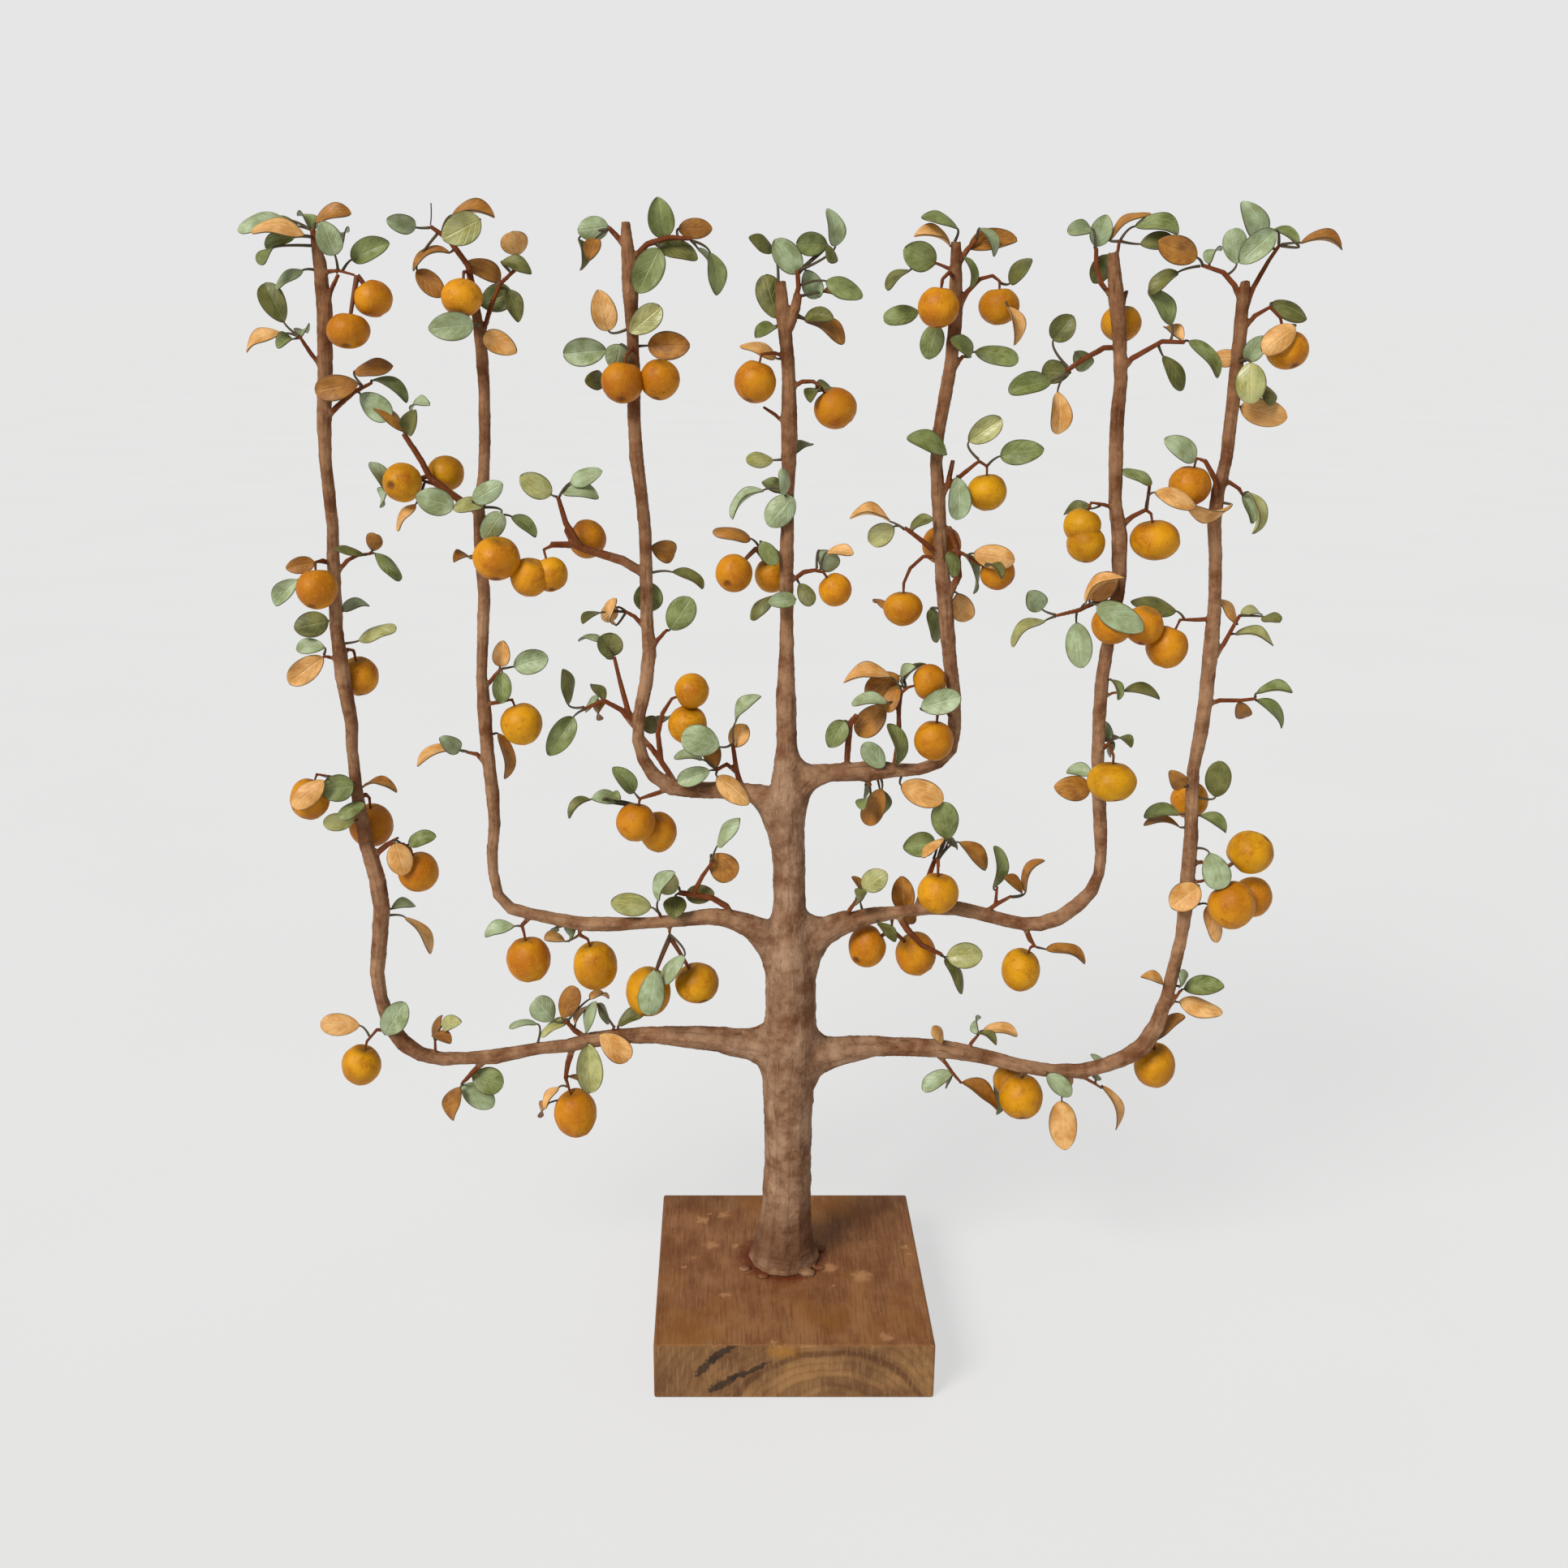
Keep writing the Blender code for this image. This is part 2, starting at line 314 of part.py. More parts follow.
def material(name, colour, roughness, metallic=0.0):
    finish = bpy.data.materials.new(name)
    finish.use_nodes = True
    shader = finish.node_tree.nodes["Principled BSDF"]
    shader.inputs["Base Color"].default_value = (*colour, 1.0)
    shader.inputs["Roughness"].default_value = roughness
    shader.inputs["Metallic"].default_value = metallic
    return finish


def mesh_object(name, build, group=None):
    """Makes a mesh object from a function that fills a bmesh."""
    shape = bmesh.new()
    build(shape)
    bmesh.ops.recalc_face_normals(shape, faces=shape.faces)
    mesh = bpy.data.meshes.new(name)
    shape.to_mesh(mesh)
    shape.free()
    item = bpy.data.objects.new(name, mesh)
    (group or PARTS).objects.link(item)
    return item


def tube(name, points, group=None, sides=2, tilt=0.0):
    """A closed tube through points (position in metres, radius in mm), as a mesh object."""
    curve = bpy.data.curves.new(name, "CURVE")
    curve.dimensions = "3D"
    curve.bevel_depth = MM
    curve.bevel_resolution = sides
    curve.use_fill_caps = True
    spline = curve.splines.new("POLY")
    spline.points.add(len(points) - 1)
    for point, (position, radius) in zip(spline.points, points):
        point.co = (*position, 1.0)
        point.radius = radius
        point.tilt = tilt
    guide = bpy.data.objects.new(name + "_guide", curve)
    CUTTERS.objects.link(guide)
    mesh = bpy.data.meshes.new_from_object(evaluated(guide))
    matrix = guide.matrix_world.copy()
    bpy.data.objects.remove(guide, do_unlink=True)
    bpy.data.curves.remove(curve)
    shape = bmesh.new()
    shape.from_mesh(mesh)
    bmesh.ops.remove_doubles(shape, verts=shape.verts, dist=0.00001)
    bmesh.ops.recalc_face_normals(shape, faces=shape.faces)
    shape.to_mesh(mesh)
    shape.free()
    item = bpy.data.objects.new(name, mesh)
    item.matrix_world = matrix
    (group or PARTS).objects.link(item)
    return item


def evaluated(item):
    return item.evaluated_get(bpy.context.evaluated_depsgraph_get())


def combine(target, tool, operation):
    """Joins a tool to its target, or cuts it away, and removes the tool."""
    boolean = target.modifiers.new(operation.lower(), "BOOLEAN")
    boolean.operation = operation
    boolean.object = tool
    result = bpy.data.meshes.new_from_object(evaluated(target))
    target.modifiers.clear()
    old_mesh = target.data
    target.data = result
    bpy.data.meshes.remove(old_mesh)
    bpy.data.objects.remove(tool, do_unlink=True)


def cylinder(name, centre, radius, low, high, segments=24, group=None):
    """An upright cylinder about a point (x, y) of the model, in mm."""
    def build(shape):
        bmesh.ops.create_cone(shape, cap_ends=True, segments=segments, radius1=radius * MM,
                              radius2=radius * MM, depth=(high - low) * MM)
        middle = Vector((centre[0], centre[1], (low + high) / 2)) * MM
        bmesh.ops.translate(shape, verts=shape.verts, vec=middle)
    return mesh_object(name, build, group)


def tapered(points):
    """Elevation points (x, z, radius), ready for a tube on the fan's plane."""
    return [(place(x, z), radius) for x, z, radius in points]


def finish(item, look, smooth=True):
    item.data.materials.clear()
    item.data.materials.append(look)
    if smooth:
        item.data.shade_smooth()
        item.data.set_sharp_from_angle(angle=math.radians(40))


def rod_centre():
    return (TREE_X + ROD_X, TREE_Y)


def first_leg(route):
    """Start point of an arm and the direction of its first leg, on the elevation."""
    (x0, z0, _), (x1, z1, _) = route[:2]
    length = math.hypot(x1 - x0, z1 - z0)
    return x0, z0, (x1 - x0) / length, (z1 - z0) / length


def along_first_leg(route, distance, radius):
    x0, z0, across, up = first_leg(route)
    return (x0 + across * distance, z0 + up * distance, radius)


def tier_points(arms, height):
    """The path of one tier's wire: in along the left arm, through the rod, out the right arm."""
    left, right = (ARMS[name] for name in arms)
    points = [(x, z) for x, z, _ in reversed(left["route"][:left["wire_end"] + 1])]
    points += [(ROD_X - 8, height), (ROD_X + 8, height)]
    points += [(x, z) for x, z, _ in right["route"][:right["wire_end"] + 1]]
    return points


def lengthened(points, extra):
    """The same path with both of its ends moved outwards."""
    def beyond(end, inner):
        across, up = end[0] - inner[0], end[1] - inner[1]
        length = math.hypot(across, up)
        return (end[0] + across / length * extra, end[1] + up / length * extra)
    return [beyond(points[0], points[1]), *points[1:-1], beyond(points[-1], points[-2])]


def wire_tube(name, points, radius, group=None):
    return tube(name, [(place(x, z), radius) for x, z in points], group, sides=1)


def wire_bore(points):
    return wire_tube("wire_bore", lengthened(points, GAP), WIRE_RADIUS + GAP * 1.2, CUTTERS)


def leader_wire_points():
    rise = [(ROD_X, LEADER_SOCKET + GAP), (ROD_X, ROD_TOP + 3)]
    return rise + [(x, z) for x, z, _ in TRUNK if ROD_TOP + 6 < z <= LEADER_WIRE_END]


def twig_points(radius, last_radius, points):
    """Tube points of a twig, its radius tapering evenly from point to point."""
    count = len(points) - 1
    return [(place(*point), radius + (last_radius - radius) * index / count)
            for index, point in enumerate(points)]


def ball_centre(ball):
    return place(*ball[:3])


def stem_end(balls, stem, fork):
    """Where a stem stops: inside the first ball's socket, or just short of the fork's apex."""
    last = place(*stem[-1])
    if fork is not None:
        apex = place(*fork)
        return apex + (last - apex).normalized() * (STEM_TIP * 2 + GAP) * MM
    centre = ball_centre(balls[0])
    return centre + (last - centre).normalized() * (socket_mouth(balls[0]) - STEM_DEPTH) * MM


def socket_mouth(ball):
    """Distance from a ball's centre to its skin at the stem, in mm."""
    return (ball[3] + ball[4]) / 2


def fruit_stems(arm):
    for _, owner, balls, radius, stem, fork in FRUITS:
        if owner == arm:
            points = twig_points(radius, STEM_TIP * 1.4, stem)
            points.append((stem_end(balls, stem, fork), STEM_TIP))
            yield points


def add_twigs(item, arm):
    for radius, last_radius, points in TWIGS[arm]:
        points = twig_points(radius, last_radius, points)
        combine(item, tube("twig", points, CUTTERS, 0, TWIG_TILT + radius / 10), "UNION")
    for points in fruit_stems(arm):
        combine(item, tube("stem", points, CUTTERS, 0, STEM_TILT), "UNION")


def stub_points(arm):
    """The trunk's own stub towards an arm, up to the joint where the arm's clay begins."""
    route = arm["route"]
    radius = route[0][2]
    return [arm["root"], along_first_leg(route, -7, radius * 1.12),
            along_first_leg(route, -GAP / 2, radius)]


def arm_points(arm):
    route = arm["route"]
    return [along_first_leg(route, GAP / 2, route[0][2]), *route[1:]]


def make_block(look):
    def build(shape):
        bmesh.ops.create_cube(shape, size=MM)
        size = Vector((BLOCK_SIZE, BLOCK_SIZE, BLOCK_HEIGHT))
        bmesh.ops.scale(shape, verts=shape.verts, vec=size)
        bmesh.ops.translate(shape, verts=shape.verts, vec=(0, 0, BLOCK_HEIGHT / 2 * MM))
        bmesh.ops.bevel(shape, geom=shape.edges[:], offset=BLOCK_EDGE * MM, segments=2,
                        profile=0.5, affect="EDGES")
    block = mesh_object("base_block", build)
    centre = rod_centre()
    hole = cylinder("rod_hole", centre, ROD_RADIUS + GAP, -5, BLOCK_HEIGHT + 5, 16, CUTTERS)
    combine(block, hole, "DIFFERENCE")
    pocket = cylinder("counterbore", centre, COUNTERBORE_RADIUS, -5, COUNTERBORE_DEPTH, 24, CUTTERS)
    combine(block, pocket, "DIFFERENCE")
    finish(block, look)


def make_fixings(look):
    """Washer and nut that draw the rod down in the counterbore under the block."""
    centre = rod_centre()
    top = COUNTERBORE_DEPTH - GAP
    washer = cylinder("base_washer", centre, WASHER_RADIUS, top - WASHER_THICKNESS, top)
    low = top - WASHER_THICKNESS - GAP - NUT_HEIGHT
    nut = cylinder("base_nut", centre, NUT_ACROSS_CORNERS / 2, low, low + NUT_HEIGHT, 6)
    for item in (washer, nut):
        bore = cylinder("bore", centre, ROD_RADIUS + GAP, -5, BLOCK_HEIGHT, 16, CUTTERS)
        combine(item, bore, "DIFFERENCE")
        finish(item, look)


def make_rod(look):
    rod = cylinder("centre_rod", rod_centre(), ROD_RADIUS, ROD_BOTTOM, ROD_TOP, 16)
    for tier in TIERS.values():
        combine(rod, wire_bore(tier_points(**tier)), "DIFFERENCE")
    socket = cylinder("leader_socket", rod_centre(), WIRE_RADIUS + GAP, LEADER_SOCKET, ROD_TOP + 5,
                      12, CUTTERS)
    combine(rod, socket, "DIFFERENCE")
    finish(rod, look)


def make_wires(look):
    for name, tier in TIERS.items():
        finish(wire_tube(name, tier_points(**tier), WIRE_RADIUS), look)
    finish(wire_tube("centre_leader_wire", leader_wire_points(), WIRE_RADIUS), look)


def make_trunk(look):
    trunk = tube("trunk_clay", tapered(TRUNK), sides=4)
    for arm in ARMS.values():
        combine(trunk, tube("stub", tapered(stub_points(arm)), CUTTERS, 3), "UNION")
    add_twigs(trunk, "trunk")
    bore = cylinder("rod_bore", rod_centre(), ROD_RADIUS + GAP, 20, ROD_TOP + GAP, 16, CUTTERS)
    combine(trunk, bore, "DIFFERENCE")
    for tier in TIERS.values():
        combine(trunk, wire_bore(tier_points(**tier)), "DIFFERENCE")
    combine(trunk, wire_bore(leader_wire_points()), "DIFFERENCE")
    finish(trunk, look)


def make_arm(name, arm, wire_path, look):
    item = tube(name, tapered(arm_points(arm)))
    add_twigs(item, name)
    combine(item, wire_bore(wire_path), "DIFFERENCE")
    finish(item, look)


def ball(name, data, group=None):
    """One fruit: a ball a little wider than tall, or taller than wide."""
    def build(shape):
        bmesh.ops.create_uvsphere(shape, u_segments=8, v_segments=6, radius=MM)
        bmesh.ops.scale(shape, verts=shape.verts, vec=(data[3], data[3], data[4]))
        bmesh.ops.translate(shape, verts=shape.verts, vec=ball_centre(data))
    return mesh_object(name, build, group)


def fork_tube(apex, data):
    """A forked stem's leg, from its apex into a ball."""
    centre = ball_centre(data)
    start = place(*apex)
    beyond = start + (start - centre).normalized() * STEM_TIP * 1.5 * MM
    return tube("fork", [(beyond, STEM_TIP), (centre, STEM_TIP)], CUTTERS, 0)


def make_fruit(name, balls, stem, fork, look):
    item = ball(name, balls[0])
    for data in balls[1:]:
        if fork is None:
            combine(item, ball("ball", data, CUTTERS), "UNION")
    if fork is None:
        centre = ball_centre(balls[0])
        outwards = (place(*stem[-1]) - centre).normalized() * MM
        reach = socket_mouth(balls[0])
        points = [(centre + outwards * (reach - STEM_DEPTH - GAP), STEM_TIP + GAP),
                  (centre + outwards * (reach + 3), STEM_TIP * 1.5 + GAP)]
        combine(item, tube("socket", points, CUTTERS, 0), "DIFFERENCE")
    else:
        legs = fork_tube(fork, balls[0])
        for data in balls[1:]:
            combine(legs, fork_tube(fork, data), "UNION")
        combine(item, legs, "UNION")
        for data in balls[1:]:
            combine(item, ball("ball", data, CUTTERS), "UNION")
    finish(item, look)


def main():
    global PARTS, CUTTERS
    clear_scene()
    PARTS = new_collection("clay_fruit_tree")
    CUTTERS = new_collection("cutters")
    bark = (0.20, 0.11, 0.06)
    steel = material("rod_steel", (0.55, 0.55, 0.56), 0.35, 1.0)
    make_block(material("stained_wood", (0.25, 0.11, 0.05), 0.6))
    make_fixings(material("zinc_steel", (0.62, 0.62, 0.60), 0.4, 1.0))
    make_rod(steel)
    make_wires(material("wire_steel", (0.45, 0.45, 0.46), 0.45, 1.0))
    make_trunk(material("trunk_clay", (0.26, 0.16, 0.10), 0.9))
    arm_tiers = {arm: tier for tier in TIERS.values() for arm in tier["arms"]}
    for name, arm in ARMS.items():
        make_arm(name, arm, tier_points(**arm_tiers[name]), material(name, bark, 0.9))
    for name, _, balls, _, stem, fork in FRUITS:
        make_fruit(name, balls, stem, fork, material(name, (0.62, 0.29, 0.05), 0.55))


main()
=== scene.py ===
"""The looks of a clay fruit tree: scratched clay bark, painted fruit and leaves, a stained block.

Positions are written as on the CAD part: a front elevation in millimetres, x across and z up on
the fan's plane, with a depth in front of it. place() turns them into metres.
"""
import math
import random

import bmesh
import bpy
import numpy as np
from mathutils import Matrix, Vector, noise
from mathutils.bvhtree import BVHTree
from mathutils.kdtree import KDTree


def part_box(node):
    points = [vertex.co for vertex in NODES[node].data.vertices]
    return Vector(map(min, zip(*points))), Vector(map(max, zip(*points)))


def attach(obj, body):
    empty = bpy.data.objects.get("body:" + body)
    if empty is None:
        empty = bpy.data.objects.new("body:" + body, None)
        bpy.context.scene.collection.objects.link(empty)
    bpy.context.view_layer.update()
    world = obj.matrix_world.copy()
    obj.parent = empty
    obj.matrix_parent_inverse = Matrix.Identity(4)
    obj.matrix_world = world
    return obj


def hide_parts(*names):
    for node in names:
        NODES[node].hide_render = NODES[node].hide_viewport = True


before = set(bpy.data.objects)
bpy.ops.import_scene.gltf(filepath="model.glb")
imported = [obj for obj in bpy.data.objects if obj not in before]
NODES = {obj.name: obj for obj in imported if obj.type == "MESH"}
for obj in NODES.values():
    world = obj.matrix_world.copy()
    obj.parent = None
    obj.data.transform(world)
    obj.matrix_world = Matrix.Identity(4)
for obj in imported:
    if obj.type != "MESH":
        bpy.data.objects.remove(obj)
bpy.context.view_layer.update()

MM = 0.001                                # all lengths are in mm, unless they are said to be in metres
ROD_LOW, ROD_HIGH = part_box("centre_rod")
ROD_FROM_AXIS = 1.0                       # the rod stands this far to the right of the tree's axis
TREE_X = (ROD_LOW.x + ROD_HIGH.x) / 2 / MM - ROD_FROM_AXIS
TREE_Y = (ROD_LOW.y + ROD_HIGH.y) / 2 / MM
EYE_X, EYE_Z, EYE_FRONT = -32.0, 570.0, 819.0   # the photo's viewpoint, EYE_FRONT before the fan
BLOCK_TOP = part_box("base_block")[1].z
CLAY = ["trunk_clay", "arm_outer_left", "arm_mid_left", "arm_inner_left", "arm_inner_right",
        "arm_mid_right", "arm_outer_right"]
FILLERS = ["centre_rod", "centre_leader_wire", "lower_arm_wire", "middle_arm_wire",
           "upper_arm_wire"]

# Leaves, by place on the elevation. Each is: base x, base z, tip x, tip z, visible width, then a
# colour letter (M mint, G green, D dark olive, T tan, O ochre, Y yellow-green and glossy), and
# F or B for one that stands in front of the clay and fruit, or behind, and S for one that sags
# instead of arching. Their order seeds the leaves' own shapes.
LEAF_TABLE = {
    "outer left, top": """
    -243 601 -265 597 8.5 M, -237 598 -254 599 5 D, -234 594 -258 596 7.5 TF, -239 593 -254 589 8 G,
    -250 588 -255 581 5 G, -230 596 -237 604 5 G, -228 600 -211 605 7 O, -220 585 -225 600 13 MF,
    -216 590 -213 596 4 M, -212 583 -193.5 591 12 G, -236 578 -249.5 570 5 M,
    -247 554 -255.5 572.5 13 D, -248 548.5 -266 541 6 T, -243 546 -250 543 6 G,
    -239 547 -236 549 3 M, -213 525 -233.5 521.5 13 OF, -214 531 -195 533.5 8.5 O,
    -206 526.5 -189 516 6 G, -212 520 -198 508 13 M, -192 502 -206 515 6 O, -190 501 -185 513 9 D,
    -187 513 -178 516 4 M""",
    "mid left, top": """
    -180.5 597.5 -192.5 600.5 10 M, -149.8 601.2 -167.5 592.4 15.5 YF, -163 603 -143 603 6 O,
    -165 586 -183 579 4 O, -181 578 -169 566 11 O, -158 581 -141 574 10 O, -155 553 -176 551 14 MF,
    -151 562 -136 568 14 G, -138 569 -133 554 9 D, -150 548 -134.5 540 12 TF,
    -132 585 -135 595 14 T, -140 582 -126 577 7 D""",
    "inner left, top": """
    -88.5 598 -103 596 12 M, -95 592 -98 582.5 9 O, -103 592 -102 578 5 D, -62 593 -65 611 14 G,
    -55 597 -39 597 10 O, -65 589 -46 583 10 D, -64.5 588 -75 568 15.5 G, -74 572 -78 568 4 OB,
    -40 586 -37 566.5 9 G, -46 588 -39 576 3 M, -89.5 550 -94 569 13 T, -79 549 -64 561 13 YF,
    -91 541 -111.5 539 15 M, -84 543.5 -87 531 13 MF, -92 527 -101 526 10 DB,
    -70.5 543 -50 543 15 O""",
    "centre, top": """
    -10 587 -21 593 7 D, 3 577 -9 592 14 M, 16 590 1 590 12 GB, 20 589 16.5 606 9 M,
    17 589 18 582 6 D, 6 578 12 565 11 M, 16 573 33.5 566 10 G, 15 568 25 568 4 OB,
    6 556 19 556 8 D, 6 555 25 544 8 O, -8 556 -14 576 14 DB, -9 552 -18 547 7 G,
    -8 537 -25.5 543 6 T, 12 521 20 523 6 D, 13 522 9 517 6 D, -9 488 -22 488 8 Y,
    1.5 491 10 496 5 G""",
    "inner right, top": """
    78 597 61 603 5 G, 75 589 57.5 594 5 T, 68 581 53 588 15 G, 56 578 45 569 5 D,
    84 588 107.5 592 11 O, 89 597 97 585 5 M, 82 584 86 570 4 G, 104.5 572 114 582.5 8 D,
    61 559 44 556 10 GB, 70 553 66 536.5 12 G, 104 561 109 544 6 TF, 87 538 77 547 8 GF,
    89 540 110 536.5 10 G, 88 497 103.5 508 13 Y, 77 491 57.5 499.5 10 GF, 127 526 106 521 12 G,
    104 490 125 493 13 G""",
    "mid right, top": """
    136 530 123 531 12 D, 127 545.5 135.5 557 13.5 D, 138 540 146 531 10 G, 130.5 521 132 501 11 T,
    142 597 130 595 8 M, 145 589 149 603 11 M, 151 585 145 572 11 DB, 151 592 170 605 4 O,
    163 598 183.5 596.5 9 G, 166 590 182 591 9 D, 193.5 584 174 591 14 OF, 185 577 172 567 8 D,
    184 553 172 569 9 G, 190 545 182 551 6 T, 181 538 192 522.5 8 D, 193 545 209 529 7 G""",
    "outer right, top": """
    200 581 205.5 588.5 4 M, 213 581 210 597 12 M, 224 592 213 609.5 12 M, 230 596 214 581.5 13 MF,
    242 589 230 596 5 G, 243 590.5 262 588 5 O, 232 563 249 556 9 D, 244 552 229 540 13 TF,
    222 536 229 547 10 M, 220 537 206.5 537 9 TB, 224 535 226 516 15 YF, 232 524 235 516 6 DB,
    221 514 243.5 508.5 14 T, 201 488 185 499 11 M""",
    "left, middle": """
    -201 472 -209.5 487 8 M, -202 473 -204.5 466 4 M, -169 465 -187 470 14 MF,
    -188 466 -198.5 454 4.5 T, -154 466 -168 464 8 YF, -159 468 -144 476.5 11 MF,
    -145 462 -155 448 12 MF, -162 439 -169.5 438 4 O, -250 428 -262.5 416 10 M,
    -241 437 -255 434 9 O, -236 407 -253 403 14 D, -228 412 -216 415 6 M, -221 396.5 -201 404 7 Y,
    -239 393 -254 393 8.5 M, -240 388 -258 375 13 T, -216 441 -230 444 4 DF, -211 443 -209 452 9 O,
    -210 441.5 -197.5 428 7 G, -149 383 -147 397 10 T, -142 383 -124 388 14 M,
    -148 380 -149 364 11 G""",
    "inner left, middle": """
    -120 471 -135 480 13 Y, -110 477 -94 483 9 M, -114 472 -96 470 8 M, -140 460 -128 450 7 G,
    -70 445 -58 441 13 OB, -60 432 -44 424 6 D, -61 402.5 -50 419 15 G, -72 427 -72 411 16 GB,
    -96 411 -105 406 4 D, -88 414 -97 407 9 T, -89 405 -89 419 3 T, -94 388 -90 401 14 D,
    -97 396 -107.5 398 3.5 M, -114.5 363 -117 382 7 D, -96 365 -101 373 6 D,
    -99 365.5 -106 359.5 4 M, -95 364 -97 354 3 O, -112 356 -125 336 14 G, -14 473 -30 460 5 M,
    -20 449 -39 453 7 O, -7 420 -20 408.5 7 D, -27.5 353 -15 368 6 M, -67 352 -63 356 6 D,
    -77 352 -66 352 10 DB""",
    "centre and inner right, middle": """
    -6 472 -13 478 8 G, -3 471 -4 484 6 MF, 1 470 -11 456 15 MF, -15 447 -7 436 9 GF,
    3 418 -11 416.5 9 MF, 5 426 11 416 9 D, 15 443 23.5 433 11 M, 19 442 31.5 441.5 6 T,
    50 457.5 30 460.5 5 T, 52 455 39.5 447 12 Y, 60.5 454 71 459 6 D, 83 479.5 84 459 12 MF,
    81 442 83 431 7 G, 93 441.5 113 438 13 TF, 100 435 107 430 4 DF, 88 441 95 420.5 3 G,
    85.5 421 91 406 13 TB, 72 413 77 395 8 GB, 49 413 45 417 4 O, 53 377 28.5 375 8 T,
    57 373 52 360 9 O, 57 378 40 368 14 O, 51 364 33 363 7 MF, 50 362 36 346 15 O,
    29 354 22 340 12 G, 57 330 53 353 8 G, 50.5 329 39 342 11.5 M, 69 361 89 367 14 MF,
    59 374 65 384 4 M, 59 373 72 384 2 D""",
    "right, middle": """
    165 483 180 477.5 6 G, 182 472 201.5 465 9 TF, 221 466 197 466 6 TFS, 226 471 232 457 7 M,
    229 472 233 452 5 Y, 151 464 138 462 6 D, 153 418 165 431 14 TF, 151 416 169 429 5 TF,
    157 415 180 403 14 MF, 197.5 412 175 417 9 D, 129 413 121 423 12 M, 131 407 114 394.5 6 Y,
    147 406 151 383 14 M, 229 406 219 418 5 T, 231 410 243 411 5 Y, 243 409 250 407 6 D,
    229 400 248 394.5 5 Y, 166 376 170.5 367 4 G, 174 370 192 366 6 D, 243 369 260.5 370 6 G,
    243 365 257 351 6 G, 234 364 239 354 9 O""",
    "left, lower": """
    -172 338 -182 345 10 M, -172 338 -194.5 331 6 T, -151.5 347 -147.5 323.5 7 O,
    -244 321 -261 308 12 TF, -229 319 -246 315.5 15 GF, -224 309 -236 302 8 GF,
    -230 299 -245 298 10 YF, -224 318 -206 315.5 4 O, -201.5 286 -186.5 291 9 G,
    -209 286.5 -205 269.5 14 TF, -213 249 -201.5 251 6 M, -206 244 -193 224 6 T,
    -147 239 -163 234 8 M""",
    "inner left, lower": """
    -81 315 -92 329 10 G, -104 311 -115 302 5 D, -89 310.5 -103 312 8 M, -96 310 -88 312 3 G,
    -36 340 -55 346 17 MF, -45 333 -59.5 334 6 MF, -41 327 -57.5 321 11 MF, -38 328 -41 342 11 O,
    -29 340 -23 351 12 T, -37 323.5 -21 309 12 TF, -37 285 -25 301 8 M, -40 280 -28.5 267 16 O,
    -58 262 -71 266 13 Y, -69 254 -60.5 271 8 MF, -73 250 -94.5 253 13 Y, -60 256 -60 246 13 D,
    -54 257 -38.5 258 11 DB, -114 238 -118 231 7 G, -120 239 -124 236 3 G, -120 230 -131 231 6 T,
    -55 221.5 -67 207 9 MF, -71 213 -75 188 15 MF""",
    "right, lower": """
    86 289 82 310 15 G, 79 287 62 284 15 G, 84 289 73 279.5 5 TF, 85 289 92 284 4 D,
    92 287 107 273 9 O, 41 319 41 313 3 M, 44 312 41 306 5 G, 50 317 42 296 13 O,
    49 316 52 302 5 DB, 60 319 82 310.5 15 T, 41 261 54 270 13 Y, 40 253 36 267 4 O,
    39 253 44 259 6 D, 64 248 62 267 14 OB, 65 249 68 238 9 OB, 50 241 58 232 6 D,
    88 221 107 222.5 15 Y, 87 220 97 200.5 6 D, 111.5 261 111 284 7 G, 127 258 116 268 6 O,
    129 258.5 136.5 277 5 O, 160 316.5 140.5 318 14 O, 160 325 148 327 8 M, 170 344 163 351 9 M,
    171 344 179 341 3 D, 171 342 168 335 5 G, 209 318 200 328 10 O, 208 303 189 301.5 8 G,
    209 295.5 189 298 4 O, 226.5 312.5 227.5 332.5 14 D, 219 302 233 293.5 7 G,
    226 281 234 262 15 MF, 228 251 235 231 9 T, 222 262 208 250 16 TF, 207 205 194 210 6 T,
    219 202 240 204 12 G, 217 194 240 188 11 T, 217 204 216.5 214 4 M, 206 171 221 186 8 O""",
    "lowest tier": """
    -221 174.5 -209 195 15 MF, -235 180 -256 181 13 T, -194 175 -185 170 7 O, -193 174 -191 184 5 O,
    -189 180 -177 183 9 Y, -174 149 -157 143.5 16 G, -180 143 -163 131 14 M, -181 142 -187 123 10 O,
    -137 181 -152 180 4 M, -128 183 -138 196 15 M, -123 185 -114 204 12 O, -120 184 -135 175 6 Y,
    -115.5 181 -107 190 3 T, -110 176 -104 195 6 M, -107 196 -97 197 3 T, -103 193 -96.5 180 5 G,
    -92 180 -78 188 8 D, -102 175 -87 160 15 TF, -109 169 -108 141 16.5 YF, -120 149 -109 141 5 O,
    -126 142 -133 131 5 T, -132 132 -137 123 4 O, 88 171 81 179 7 T, 107.5 175 107.5 183.5 3.5 M,
    107 175 116 170 4 D, 110 177 128.5 175 7 T, 94 151 78 140.5 10 M, 94 150 90 143 6 G,
    99.5 145 119 129 9 O, 118 146 121 126 8 GB, 147 150 160 138 11 MF, 156 149 161 140 8 O,
    156 133.5 159 105 16 T, 178 143 187.5 118 5 T, 175 157 173 162 6 MB, 174 147 172 151 4 M,
    142 225.4 163 219 7 O""",
}
LEAVES = [(*map(float, entry.split()[:5]), entry.split()[5])
          for rows in LEAF_TABLE.values() for entry in rows.split(",")]

